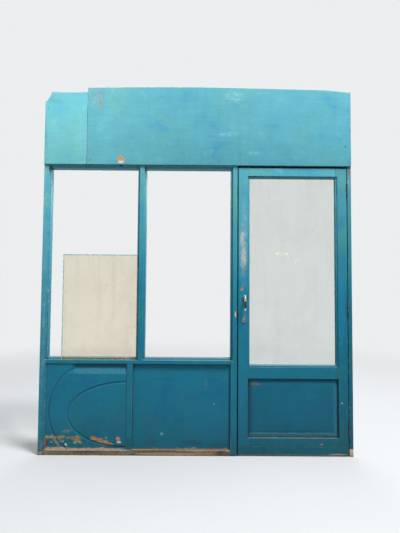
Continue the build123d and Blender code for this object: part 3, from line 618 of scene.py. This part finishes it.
def old_metal(name, bright, dull, rough, rust=0.3, rust_colour=RED_BROWN, painted=0.0, metallic=1.0,
              reflected_band=None):
    """Worn metal with tarnish and rust, and with paint left on it by careless brushing; painted shade
    darkens its corners and reflected_band is a painted dark reflection.
    """
    g = Surface(name)
    cloud = g.noise(g.place, TARNISH, 4.0, 0.6, 0.3)
    fine = g.noise(g.place, PITTING, 3.0, 0.6)
    colour = g.mix(g.step(cloud, 0.42, 0.66), bright, dull)
    metal = g.step(cloud, 0.3, 0.8, metallic, metallic * 0.8)
    solid = g.step(g.sum(g.noise(g.place, RUST_SPOTS, 5.0, 0.65), g.times(fine, 0.2)), 0.72 - 0.2 * rust,
                   0.80 - 0.2 * rust)
    colour = g.mix(g.times(solid, 0.85), colour, rust_colour)
    # Painted reflection: the band darkens the metal as if dark ground were mirrored in it
    if reflected_band:
        start, end = reflected_band
        height = g.sum(g.axis(g.place, "Z"), g.times(g.math("SUBTRACT", cloud, 0.5), 0.02))
        band = g.times(g.step(height, start, start - 0.012), g.step(height, end, end + 0.010))
        colour = g.mix(g.times(band, 0.92), colour, DARK_REFLECTION)
    if painted:
        brushed_over = g.noise(g.place, PAINT_SMEARS, 4.0, 0.6, 0.4)
        left_on = g.step(brushed_over, 0.70 - 0.4 * painted, 0.74 - 0.4 * painted)
        colour = g.mix(left_on, colour, g.ramp(g.axis(g.place, "Z"), PAINT_AND_LIGHT_BY_HEIGHT))
        solid = g.most(solid, left_on)
    # Painted shade: ambient occlusion darkens the metal's corners
    closed = g.add("AmbientOcclusion", {"samples": 6}, Distance=METAL_SHADE_REACH).outputs["AO"]
    colour = g.mix(g.times(g.step(closed, 0.8, 0.3), 0.6), colour, DIRT_AND_SHADE)
    g.relief(g.sum(g.times(fine, 0.02), g.times(solid, 0.05)))
    return g.finish(Base_Color=colour, Metallic=g.times(metal, g.step(solid, 0.0, 1.0, 1.0, 0.0)),
                    Roughness=g.sum(rough, g.times(fine, 0.14), g.times(solid, 0.3)))


# Shapes that time or a maker's hand gives, which stand for plain solids

def in_scene(name, data):
    """A new object of the scene."""
    item = bpy.data.objects.new(name, data)
    bpy.context.scene.collection.objects.link(item)
    return item


def stand_for(name, mesh, material):
    """A piece that takes a node's place, on its body and with its slot."""
    mesh.materials.clear()
    mesh.materials.append(material)
    piece = in_scene(name + "_worn", mesh)
    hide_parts(name)
    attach(piece, BODY[name])
    return piece


def triangle_mesh(name, bm):
    """The mesh of a piece, all in triangles."""
    bmesh.ops.triangulate(bm, faces=bm.faces)
    mesh = bpy.data.meshes.new(name + "_worn")
    bm.to_mesh(mesh)
    bm.free()
    return mesh


def smooth(mesh, crease):
    """Smooth shading, but for edges that turn more than the crease."""
    mesh.shade_smooth()
    mesh.set_sharp_from_angle(angle=crease)


def near_hardware(point):
    """True beside the plates and locks that are let into the timber."""
    return any(all(low[axis] - HARDWARE_MARGIN < point[axis] < high[axis] + HARDWARE_MARGIN
                   for axis in range(3)) for low, high in HARDWARE)


def cut_across(bm, low, high):
    """Cuts the faces up, closest along the piece and beside its outer arrises."""
    size = high - low
    longest = max(range(3), key=lambda axis: size[axis])
    for axis in range(3):
        count = int(size[axis] / (CUT_ALONG if axis == longest else CUT_ACROSS))
        levels = [low[axis] + size[axis] * n / count for n in range(1, count)]
        if axis != longest:
            levels += [low[axis] + CUT_BY_ARRIS, high[axis] - CUT_BY_ARRIS]
        across = Vector([float(axis == other) for other in range(3)])
        for level in levels:
            bmesh.ops.bisect_plane(bm, geom=bm.verts[:] + bm.edges[:] + bm.faces[:],
                                   plane_co=across * level, plane_no=across, dist=CUT_TOLERANCE)


def rounded_solid(name):
    """A node's solid with its arrises rubbed round, cut finely enough to be worn."""
    bm = bmesh.new()
    bm.from_mesh(NODES[name].data)
    bmesh.ops.remove_doubles(bm, verts=bm.verts, dist=WELD)
    bmesh.ops.dissolve_limit(bm, angle_limit=FLAT_TURN, verts=bm.verts, edges=bm.edges)
    arrises = [edge for edge in bm.edges if edge.is_convex and edge.calc_length() > SHORT_EDGE
               and edge.calc_face_angle() > SHARP_TURN]
    bmesh.ops.bevel(bm, geom=arrises, offset=ARRIS_ROUND, offset_type="OFFSET", segments=2,
                    profile=0.5, affect="EDGES", clamp_overlap=False)
    cut_across(bm, LOW[name], HIGH[name])
    bm.normal_update()
    return bm


def knocked(vertex, point, nick):
    """How far a point is knocked in: up to nick on an arris, and nothing on a face."""
    turn = max(edge.calc_face_angle_signed(0.0) for edge in vertex.link_edges)
    if turn <= ARRIS_TURN or near_hardware(vertex.co):
        return 0.0
    knock = noise.fractal(point * NICK_SCALE, 0.9, 2.1, 4)
    return nick * min(1.0, max(0.0, (knock - NICK_START) / NICK_SWING))


def worn_timber(name, material, nick, crease=SMOOTH_TURN):
    """A timber as years leave it: arrises rubbed round and knocked, faces not quite flat."""
    bm = rounded_solid(name)
    order = sorted(NODES).index(name)
    shift = Vector([order * step for step in OWN_SHIFT])
    places, wears = [], []
    for vertex in bm.verts:
        point = vertex.co + shift
        depth = WAVE_DEPTH * (0.5 + 0.5 * noise.noise(point * WAVE_SCALE))
        worn = knocked(vertex, point, nick)
        places.append(vertex.co - vertex.normal * (depth + worn))
        wears.append(min(1.0, worn / FULL_NICK))
    wear = bm.verts.layers.float.new("wear")
    own = bm.verts.layers.float_vector.new("own_shift")
    for vertex, place, worn in zip(bm.verts, places, wears):
        vertex.co = place
        vertex[wear] = worn
        vertex[own] = shift
    mesh = triangle_mesh(name, bm)
    smooth(mesh, crease)
    piece = stand_for(name, mesh, material)
    piece.modifiers.new("even_faces", "WEIGHTED_NORMAL").keep_sharp = True


def carved_faces(x, z, height):
    """How far each face of the carving lies behind the highest one, without the grooves."""
    field_top = height - FIELD_MARGIN
    reach = np.sqrt(np.maximum(ARCH_RADIUS**2 - (z - ARCH_CENTRE[1])**2, 0.0))
    arch = ARCH_CENTRE[0] - reach
    arch_top = ARCH_CENTRE[0] - math.sqrt(ARCH_RADIUS**2 - (field_top - ARCH_CENTRE[1])**2)
    field = (x > arch) & (z < field_top)
    slope = CARVED_RELIEF * np.clip((z - field_top + FIELD_BEVEL) / FIELD_BEVEL, 0.0, 1.0)
    outside = np.where(x < arch_top, CORNER_DROP, CARVED_RELIEF)
    return np.where(field, slope, outside)


def carved_grooves(x, z, width, height):
    """The depth of the grooves round the arched field and of the oval."""
    on_arch = (x < ARCH_CENTRE[0] - ARCH_END) & (z < height - FIELD_MARGIN)
    to_arch = np.abs(np.hypot(x - ARCH_CENTRE[0], z - ARCH_CENTRE[1]) - ARCH_RADIUS)
    to_arch = np.where(on_arch, to_arch, 1.0)
    east, north = (x - width) / OVAL_HALF[0], (z - OVAL_CENTRE_RISE) / OVAL_HALF[1]
    level = np.maximum(np.hypot(east, north), 1e-3)
    steepness = np.maximum(np.hypot(east / OVAL_HALF[0], north / OVAL_HALF[1]) / level, 1e-3)
    to_oval = np.abs(level - 1.0) / steepness
    return GROOVE_DEPTH * (1.0 - np.minimum(to_arch, to_oval) / GROOVE_HALF)


def softened(heights):
    """Heights with their sharp steps worn round."""
    for _ in range(SOFTENING):
        padded = np.pad(heights, 1, mode="edge")
        heights = (padded[:-2, 1:-1] + padded[2:, 1:-1] + padded[1:-1, :-2] + padded[1:-1, 2:]
                   + 2.0 * heights) / 6.0
    return heights


def carving(x, z, width, height):
    """How far the carving lies behind its highest face, and where it is hollow, 0 to 1."""
    faces = softened(carved_faces(x, z, height))
    depth = softened(np.maximum(faces, carved_grooves(x, z, width, height)))
    hollow = np.clip((depth - faces) / FULL_HOLLOW, 0.0, 1.0)
    tooled = [noise.fractal(Vector((px * TOOL_SCALE[0], 0.0, pz * TOOL_SCALE[1])), 0.8, 2.0, 3)
              for px, pz in zip(x.ravel(), z.ravel())]
    tooled = np.clip(np.array(tooled).reshape(x.shape), -1, 1)
    return depth + TOOL_MARKS * (0.5 + 0.5 * tooled), hollow


def slab(name, front, back_y):
    """The mesh of a board with a grid of points for its front, sides and a flat back."""
    number = np.arange(front.shape[0] * front.shape[1]).reshape(front.shape[:2])
    quads = np.stack([number[:-1, :-1], number[1:, :-1], number[1:, 1:], number[:-1, 1:]], axis=-1)
    rim = np.concatenate([number[:-1, 0], number[-1, :-1], number[:0:-1, -1], number[0, :0:-1]])
    points = front.reshape(-1, 3)
    back = points[rim].copy()
    back[:, 1] = back_y
    behind = np.arange(len(rim)) + len(points)
    sides = [(int(rim[n - 1]), int(behind[n - 1]), int(behind[n]), int(rim[n])) for n in range(len(rim))]
    mesh = bpy.data.meshes.new(name + "_worn")
    mesh.from_pydata(np.concatenate([points, back]).tolist(), [],
                     quads.reshape(-1, 4).tolist() + sides + [behind.tolist()])
    return mesh


def carved_board(material):
    """The old raised panel: its carving with soft edges, over a flat back."""
    name = "carved_panel"
    low, high = LOW[name], HIGH[name]
    width, height = high.x - low.x, high.z - low.z
    across, up = int(width / CARVED_GRID), int(height / CARVED_GRID)
    x, z = np.meshgrid(np.linspace(0, width, across + 1), np.linspace(0, height, up + 1), indexing="ij")
    depth, hollow = carving(x, z, width, height)
    mesh = slab(name, np.stack([low.x + x, low.y + depth, low.z + z], axis=-1), high.y)
    shade = mesh.attributes.new("hollow", "FLOAT", "POINT")
    shade.data.foreach_set("value", np.append(hollow, np.zeros(len(mesh.vertices) - hollow.size)))
    bm = bmesh.new()
    bm.from_mesh(mesh)
    bmesh.ops.recalc_face_normals(bm, faces=bm.faces)
    bmesh.ops.triangulate(bm, faces=[face for face in bm.faces if len(face.verts) > 4])
    bm.to_mesh(mesh)
    bm.free()
    smooth(mesh, SMOOTH_TURN)
    stand_for(name, mesh, material)


def casting(name, material):
    """A cast lever with its joins run together and its facets smoothed."""
    rough = in_scene(name + "_rough", NODES[name].data.copy())
    remesh = rough.modifiers.new("skin", "REMESH")
    remesh.mode = "VOXEL"
    remesh.voxel_size = CASTING_GRID
    softening = rough.modifiers.new("smooth", "SMOOTH")
    softening.factor = 0.5
    softening.iterations = CASTING_SMOOTHING
    shaped = rough.evaluated_get(bpy.context.evaluated_depsgraph_get())
    mesh = bpy.data.meshes.new_from_object(shaped)
    bpy.data.objects.remove(rough)
    mesh.shade_smooth()
    stand_for(name, mesh, material)


def nibbled_pane(name, material):
    """An offcut of glass with rough-nipped left and top edges."""
    low, high = LOW[name], HIGH[name]
    corners = [Vector((low.x, 0, low.z)), Vector((high.x, 0, low.z)), Vector((high.x, 0, high.z)),
               Vector((low.x, 0, high.z))]
    outline = []
    for start, end in zip(corners, corners[1:] + corners[:1]):
        count = int((end - start).length / PANE_STEP)
        outline += [start.lerp(end, n / count) for n in range(count)]
    for point in outline:
        bite = PANE_NIBBLE * max(0.0, noise.fractal(point * NIBBLE_SCALE, 0.7, 2.0, 3))
        if point.x < low.x + ON_EDGE:
            point.x += bite
        if point.z > high.z - ON_EDGE:
            point.z -= bite
    bm = bmesh.new()
    face = bm.faces.new([bm.verts.new((point.x, low.y, point.z)) for point in outline])
    thick = bmesh.ops.extrude_face_region(bm, geom=[face])
    moved = [item for item in thick["geom"] if isinstance(item, bmesh.types.BMVert)]
    bmesh.ops.translate(bm, vec=(0, high.y - low.y, 0), verts=moved)
    bmesh.ops.recalc_face_normals(bm, faces=bm.faces)
    stand_for(name, triangle_mesh(name, bm), material)


def coat(material, *names):
    """Gives CAD nodes a finish, and leaves their shape as it is."""
    for name in names:
        slots = NODES[name].data.materials
        for index in range(len(slots)):
            slots[index] = material
        if not slots:
            slots.append(material)


# The studio

def camera():
    """The photograph's camera."""
    data = bpy.data.cameras.new("camera")
    data.sensor_fit = "VERTICAL"
    data.sensor_height = SENSOR_HEIGHT
    data.lens = LENS
    data.clip_end = CLIP_END
    eye = in_scene("camera", data)
    eye.location = CAMERA_PLACE
    forward = Vector((math.sin(CAMERA_YAW) * math.cos(CAMERA_PITCH),
                      math.cos(CAMERA_YAW) * math.cos(CAMERA_PITCH), math.sin(CAMERA_PITCH)))
    eye.rotation_mode = "QUATERNION"
    level = forward.to_track_quat("-Z", "Y")
    eye.rotation_quaternion = level @ Quaternion((0, 0, 1), CAMERA_ROLL)
    bpy.context.scene.camera = eye


def area_light(name, place, aim, size, watts):
    """A round soft lamp that shines towards its aim."""
    data = bpy.data.lights.new(name, "AREA")
    data.shape = "DISK"
    data.size = size
    data.energy = watts
    lamp = in_scene(name, data)
    lamp.location = place
    lamp.rotation_mode = "QUATERNION"
    lamp.rotation_quaternion = (Vector(aim) - Vector(place)).to_track_quat("-Z", "Y")
    lamp.visible_transmission = False


def sky():
    """Soft light, most of it from overhead, and a plain background for what sees past the unit."""
    world = bpy.data.worlds.new("studio")
    bpy.context.scene.world = world
    world.use_nodes = True
    world.node_tree.nodes.clear()
    g = Graph(world.node_tree)
    climb = g.axis(g.add("TexCoord").outputs["Generated"], "Z")
    strength = g.add("MapRange", **{"Value": climb, "To Min": SKY_LEVEL, "To Max": SKY_OVERHEAD})
    light = g.add("Background", Color=(*SKY_COLOUR, 1.0), Strength=strength.outputs[0])
    seen = g.add("Background", Color=(*BACKGROUND, 1.0))
    g.blend(g.looking(), light.outputs[0], seen.outputs[0], g.add("OutputWorld"))


def floor():
    """A pale floor that fades into the background far from the unit."""
    mesh = bpy.data.meshes.new("floor")
    corners = [(x * FLOOR_HALF, y * FLOOR_HALF, 0) for x, y in ((-1, -1), (1, -1), (1, 1), (-1, 1))]
    mesh.from_pydata(corners, [], [(0, 1, 2, 3)])
    ground = in_scene("floor", mesh)
    g = Surface("floor")
    speckle = g.noise(g.place, FLOOR_SPECKLE, 4.0, 0.6)
    looking = g.looking()
    shade = g.sum(g.times(speckle, FLOOR_SWING), 1.0 - FLOOR_SWING / 2)
    pale = g.tint((*FLOOR_COLOUR, 1.0), shade)
    g.finish(Base_Color=g.mix(looking, (*FLOOR_BOUNCE, 1.0), pale), Roughness=0.8)
    glow = g.add("Emission", Color=(*BACKGROUND, 1.0)).outputs[0]
    share = g.times(g.step(g.vector("LENGTH", g.place), *FLOOR_FADE), looking)
    mesh.materials.append(g.swap(share, glow))


bpy.context.scene.view_settings.view_transform = "Standard"
camera()
sky()
floor()
for name, settings in LAMPS.items():
    area_light(name, **settings)

# How far the timbers' arrises are knocked in, in metres, but not beside the hardware
NICKS = {"door_foot_strip": 0.0030, "bottom_rail": 0.0030, "left_jamb": 0.0022, "hinge_jamb": 0.0022,
         "lock_post": 0.0018, "door_bottom_rail": 0.0014, "fascia_long_board": 0.0012,
         "fascia_short_board": 0.0012, "plain_panel": 0.0006, "door_panel": 0.0006}
PLAIN_NICK = 0.0013
HARDWARE = [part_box(name) for name in NODES if SLOT[name] in ("hinge_steel", "lock_steel", "painted_metal")]

# How each timber is painted; a mark is its middle, width and height in millimetres on the front
PAINTED = {
    # The left jamb carries painted sunlight over its front
    "left_jamb": dict(tone=1.04, green=1.0, chalky=0.6, chipped=0.8, painted_sunlight=(-1.105, -1.15),
                      bare_below=0.02, bare_share=0.6, marks=[
        mark(-1131, 1200, 56, 1900, CHALK, ragged=0.3, strength=0.5, specks=34),
        mark(-1131, 66, 44, 120, WORN_GREY, strength=0.8, specks=90),
        mark(-1128, 660, 24, 40, WORN_GREY, strength=0.5),
        mark(-1108, 440, 5, 400, GREEN_TAN, ragged=0.3, strength=0.75, specks=60)]),
    "mullion": dict(green=0.5, marks=[
        mark(-388, 1800, 5, 620, PRIMER, ragged=0.25, strength=0.7, specks=70)]),
    "lower_muntin": dict(green=0.6, marks=[
        mark(-473, 350, 9, 610, GREY_PURPLE, ragged=0.4, strength=0.4, specks=80),
        mark(-490, 90, 30, 90, DIRT_AND_SHADE, strength=0.3)]),
    "lock_post": dict(green=0.6, chipped=0.7, marks=[
        mark(289, 1033, 11, 44, PRIMER, ragged=0.3, strength=0.95),
        mark(297, 1028, 8, 36, RED_BROWN, ragged=0.3),
        mark(253, 70, 7, 150, GREY_PURPLE, ragged=0.3, strength=0.8)]),
    "hinge_jamb": dict(tone=0.76, green=0.9, chipped=0.8, bare_below=0.05, woods=(BARE_WOOD, CREAM_WOOD),
                       marks=[
        mark(1131, 2000, 9, 96, PALE_BLUE, ragged=0.3, strength=0.8),
        mark(1144, 2098, 16, 62, BARE_WOOD, ragged=0.35, strength=0.95),
        mark(1111, 2297, 16, 12, DIRT_AND_SHADE, ragged=0.3, strength=0.9)]),
    "bottom_rail": dict(along="X", green=0.6, bare_below=0.06, bare_share=0.97, chipped=0.9, splash=0.1,
                        primer=0.1, woods=(WET_WOOD, DAMP_WOOD), marks=[
        mark(-806, 38, 600, 8, CREAM_PINK, ragged=0.2, strength=0.8, straight=True),
        mark(-806, 26, 600, 5, DARK_CRACK, turn=-0.5, ragged=0.3, strength=0.85, straight=True),
        mark(-700, 13, 220, 14, OLIVE, strength=0.6),
        mark(-590, 10, 44, 18, RUST_PINK, ragged=0.4, strength=0.85),
        mark(-539, 33, 66, 12, TURQUOISE, ragged=0.4, strength=0.85),
        mark(-390, 30, 150, 18, RUST_PINK, ragged=0.4, strength=0.8),
        mark(-250, 34, 170, 12, OLIVE, ragged=0.4, strength=0.8),
        mark(-110, 27, 660, 5, DARK_CRACK, turn=-0.4, ragged=0.3, strength=0.8, straight=True),
        mark(-200, 12, 400, 9, CREAM_WOOD, ragged=0.3, strength=0.7, straight=True),
        mark(20, 34, 90, 16, GREEN_TAN, strength=0.7),
        mark(116, 32, 120, 20, RUST_PINK, ragged=0.4, strength=0.85),
        mark(200, 20, 130, 40, DIRT_AND_SHADE, strength=0.6)]),
    "mid_rail": dict(along="X", green=0.6, dusty=0.65),
    "head_rail": dict(along="X", green=0.4, chalky=0.45, marks=[
        mark(-578, 2150, 26, 30, DIRT_AND_SHADE, turn=20, ragged=0.3, strength=0.85)]),
    # Fascia: painted sunlight on its left part, and the long board's lower tone as painted shade
    "fascia_short_board": dict(along="X", tone=0.98, green=0.4, chalky=0.2, streaks=0.04, crazing=0.1,
                               bare_back=True, painted_sunlight=(0.1, -0.9), marks=[
        mark(-1100, 2640, 170, 90, DIRT_AND_SHADE, turn=-12, ragged=0.3, strength=0.3, specks=34),
        mark(-1148, 2380, 40, 320, DIRT_AND_SHADE, ragged=0.3, strength=0.35, specks=34),
        mark(-848, 2330, 22, 330, LIGHT_STAIN, strength=0.15)]),
    "fascia_long_board": dict(along="X", tone=0.83, green=0.3, streaks=0.06, crazing=0.1,
                              bare_back=True, painted_sunlight=(0.1, -0.9), marks=[
        mark(-800, 2690, 90, 120, PALE_BLUE, strength=0.3),
        mark(-742, 2650, 54, 260, LIGHT_STAIN, ragged=0.2, strength=0.8, specks=60),
        mark(-740, 2640, 30, 200, CREAM_PINK, ragged=0.2, strength=0.6, specks=90),
        mark(271, 2668, 170, 120, RUBBED_CYAN, ragged=0.3, strength=0.75, specks=60),
        mark(218, 2384, 230, 50, RUBBED_CYAN, turn=3, ragged=0.3, strength=0.6, specks=60),
        mark(422, 2242, 150, 46, RUBBED_CYAN, ragged=0.3, strength=0.6, specks=60),
        mark(-582, 2190, 52, 50, PEACH, turn=12, strength=0.9),
        mark(-578, 2167, 36, 18, CREAM, ragged=0.35, strength=0.9, straight=True),
        mark(1111, 2297, 13, 11, DIRT_AND_SHADE, ragged=0.3, strength=0.8),
        mark(1149, 2420, 9, 30, DIRT_AND_SHADE, ragged=0.3, strength=0.4)]),
    "carved_panel": dict(along="X", green=0.4, chalky=0.2, chipped=0.8,
                         bare_below=0.047, bare_share=0.7, woods=(OLD_WOOD, CREAM_PINK),
                         flaked=(-1.105, -0.80, 0.085, 0.145), marks=[
        # Painted highlight on the field's upper bevel, and painted shadow of the mid rail above it
        mark(-708, 607, 380, 38, BEVEL_HIGHLIGHT, ragged=0.1, strength=0.3, straight=True),
        mark(-708, 647, 400, 30, DIRT_AND_SHADE, ragged=0.1, strength=0.5, straight=True),
        mark(-1086, 128, 36, 20, CREAM_WOOD),
        mark(-1088, 88, 22, 54, RED_BROWN, ragged=0.4),
        mark(-1102, 96, 7, 70, GREY_PINK, ragged=0.4, strength=0.8),
        mark(-1058, 134, 46, 14, GREEN_TAN, turn=25),
        mark(-1026, 98, 15, 112, GREEN_TAN, turn=36, ragged=0.35),
        mark(-975, 130, 44, 20, GREEN_TAN, ragged=0.6),
        mark(-945, 172, 72, 24, GREY_PINK, turn=10, strength=0.35),
        mark(-948, 76, 20, 18, PRIMER, ragged=0.4),
        mark(-925, 124, 50, 13, GREEN_TAN, ragged=0.6),
        mark(-880, 119, 66, 26, BARE_WOOD, turn=-10, ragged=0.6),
        mark(-858, 112, 26, 22, PINK),
        mark(-752, 124, 44, 34, ORANGE_TAN, ragged=0.45),
        mark(-700, 88, 150, 9, DIRT_AND_SHADE, turn=-16, ragged=0.4, strength=0.4),
        mark(-692, 103, 128, 30, BARE_WOOD, turn=-16),
        mark(-676, 99, 80, 13, ORANGE_TAN, turn=-16, ragged=0.4),
        mark(-622, 85, 42, 17, BARE_WOOD, turn=-12),
        mark(-656, 125, 16, 18, PALE_BLUE, ragged=0.4, strength=0.45),
        mark(-566, 122, 34, 33, ORANGE_TAN, ragged=0.45),
        mark(-564, 95, 30, 17, PRIMER),
        mark(-600, 60, 120, 22, DIRT_AND_SHADE, strength=0.45),
        mark(-538, 60, 44, 34, DIRT_AND_SHADE, strength=0.35),
        mark(-820, 47, 560, 8, CREAM_PINK, ragged=0.4, strength=0.5, straight=True)]),
    "plain_panel": dict(along="X", green=0.25, chalky=0.15, bare_below=0.043, bare_share=0.6, marks=[
        mark(-463, 370, 9, 560, GREY_PURPLE, ragged=0.4, strength=0.45, specks=80),
        mark(-232, 550, 170, 16, DIRT_AND_SHADE, ragged=0.8, strength=0.16),
        mark(128, 550, 60, 16, DIRT_AND_SHADE, ragged=0.8, strength=0.16),
        mark(74, 519, 44, 110, CHALK, turn=8, ragged=0.4, strength=0.16, specks=60),
        mark(134, 370, 11, 11, PALE_BLUE, ragged=0.4, strength=0.6),
        mark(-251, 153, 24, 20, PALE_BLUE, ragged=0.4, strength=0.4),
        mark(-330, 92, 80, 50, DIRT_AND_SHADE, ragged=0.6, strength=0.22),
        mark(-30, 90, 160, 40, DIRT_AND_SHADE, ragged=0.6, strength=0.28),
        mark(170, 76, 130, 40, DIRT_AND_SHADE, ragged=0.6, strength=0.25),
        mark(-110, 47, 690, 8, GREY_PINK, ragged=0.6, strength=0.5)]),
    "lock_stile": dict(green=0.35, marks=[
        mark(346, 1540, 84, 640, PALE_BLUE, ragged=0.2, strength=0.9, specks=70),
        mark(338, 1600, 52, 160, PRIMER, ragged=0.25, specks=120),
        mark(346, 1450, 60, 230, PRIMER, ragged=0.25, specks=120),
        mark(356, 1800, 50, 260, PALE_BLUE, ragged=0.3, strength=0.6, specks=70),
        mark(335, 1220, 22, 30, ORANGE_TAN, ragged=0.4, strength=0.6),
        mark(338, 1128, 22, 80, OLIVE, ragged=0.3, strength=0.7, specks=90),
        mark(360, 1030, 16, 74, GREY_PINK, ragged=0.3, strength=0.8, specks=90),
        mark(338, 1050, 20, 28, BRIGHT_BLUE, ragged=0.4, strength=0.7)]),
    "hinge_stile": dict(green=0.9, tone=0.81, marks=[
        mark(1072, 1120, 60, 620, BRIGHT_BLUE, strength=0.3),
        mark(1072, 387, 12, 13, PRIMER, ragged=0.4, strength=0.6)]),
    "door_top_rail": dict(along="X", green=0.5, chalky=0.4),
    "door_lock_rail": dict(along="X", green=0.7, tone=0.96),
    "door_panel": dict(along="X", green=0.2, tone=0.80, chalky=0.15, marks=[
        # Painted highlight on the bottom and right bevels, painted shade on the left bevel and under the
        # bottom one
        mark(714, 151, 640, 36, BEVEL_HIGHLIGHT, ragged=0.08, strength=0.7, straight=True),
        mark(397, 346, 32, 380, BEVEL_SHADE, ragged=0.15, strength=0.4, straight=True),
        mark(1030, 346, 30, 380, BEVEL_HIGHLIGHT, ragged=0.15, strength=0.2, straight=True),
        mark(714, 178, 560, 12, BEVEL_SHADE, ragged=0.3, strength=0.35),
        mark(434, 520, 84, 18, STAIN, turn=-5, ragged=0.4, strength=0.7)]),
    "door_bottom_rail": dict(along="X", green=0.5, tone=0.90, streaks=0.3, chipped=0.1, marks=[
        mark(921, 87, 24, 12, GREY_PINK, strength=0.8)]),
    "door_foot_strip": dict(along="X", green=1.0, streaks=0.35, chipped=0.9, tone=0.86, marks=[
        mark(1040, 17, 130, 8, CREAM_WOOD, ragged=0.4, strength=0.8)]),
    "glass_bead_top": dict(along="X"),
    "glass_bead_bottom": dict(along="X", dusty=0.2),
    "glass_bead_left": dict(),
    "glass_bead_right": dict(),
}
for name, settings in PAINTED.items():
    finish = paint("paint_" + name, **settings)
    if name == "carved_panel":
        carved_board(finish)
    else:
        worn_timber(name, finish, NICKS.get(name, PLAIN_NICK),
                    BEVEL_TURN if name == "door_panel" else SMOOTH_TURN)

# Bare wood and glass
STUD_WOOD = softwood("softwood_upright", "Z")
RAIL_WOOD = softwood("softwood_level", "X")
for name in NODES:
    if name.startswith("fascia_stud"):
        worn_timber(name, STUD_WOOD, PLAIN_NICK)
worn_timber("top_rail", RAIL_WOOD, PLAIN_NICK)
coat(RAIL_WOOD, "carved_panel_strips", "plain_panel_strips")

nibbled_pane("offcut_pane", dusty_glass("offcut_pane", 0.24, WARM_GLASS, painted_rim=0.0075))
coat(dusty_glass("door_glass", 0.13, CLEAR_GLASS, smears=[
    mark(636, 1484, 126, 20, PRIMER, turn=-6, strength=0.6, specks=50),
    mark(742, 1428, 14, 40, PRIMER, strength=0.5, specks=60)]), "door_glass")

# Metal; the levers have a painted dark reflection from 20 to 86 mm below their spindle
SPINDLE_HEIGHT = (LOW["front_rose"].z + HIGH["front_rose"].z) / 2
LEVER_REFLECTION_BAND = (SPINDLE_HEIGHT - 0.020, SPINDLE_HEIGHT - 0.086)
FIXING = dict(bright=srgb(96, 92, 88), dull=srgb(58, 56, 56), rough=0.48)
METALS = {
    "worn_chrome": dict(bright=srgb(206, 202, 190), dull=srgb(150, 142, 128), rough=0.20, rust=0.1,
                        reflected_band=LEVER_REFLECTION_BAND),
    "rose_metal": dict(bright=srgb(104, 110, 108), dull=srgb(50, 58, 60), rough=0.38, rust=0.2,
                       painted=0.5),
    "painted_plate": dict(bright=srgb(122, 124, 136), dull=srgb(92, 98, 112), rough=0.42, rust=0.1,
                          painted=0.45, metallic=0.6),
    "hinge_steel": dict(bright=srgb(84, 82, 80), dull=srgb(48, 46, 46), rough=0.46, rust=0.6,
                        painted=0.3),
    "lock_steel": dict(bright=srgb(132, 130, 124), dull=srgb(92, 88, 82), rough=0.38, rust=0.35),
    "fixing_steel": dict(FIXING, rust=0.55, painted=0.25),
    "painted_nails": dict(FIXING, painted=0.62),
    "bolt_brass": dict(bright=srgb(176, 140, 78), dull=srgb(116, 92, 56), rough=0.32, rust=0.1,
                       rust_colour=DIRT_AND_SHADE),
}
METAL = {name: old_metal(name, **settings) for name, settings in METALS.items()}
for name, slot in SLOT.items():
    if slot in ("hinge_steel", "lock_steel", "fixing_steel", "bolt_brass"):
        coat(METAL[slot], name)
coat(METAL["painted_nails"], "fascia_nails")
coat(METAL["rose_metal"], "front_rose", "back_rose")
coat(METAL["painted_plate"], "front_keyhole_plate", "back_keyhole_plate")
casting("front_lever", METAL["worn_chrome"])
casting("back_lever", METAL["worn_chrome"])
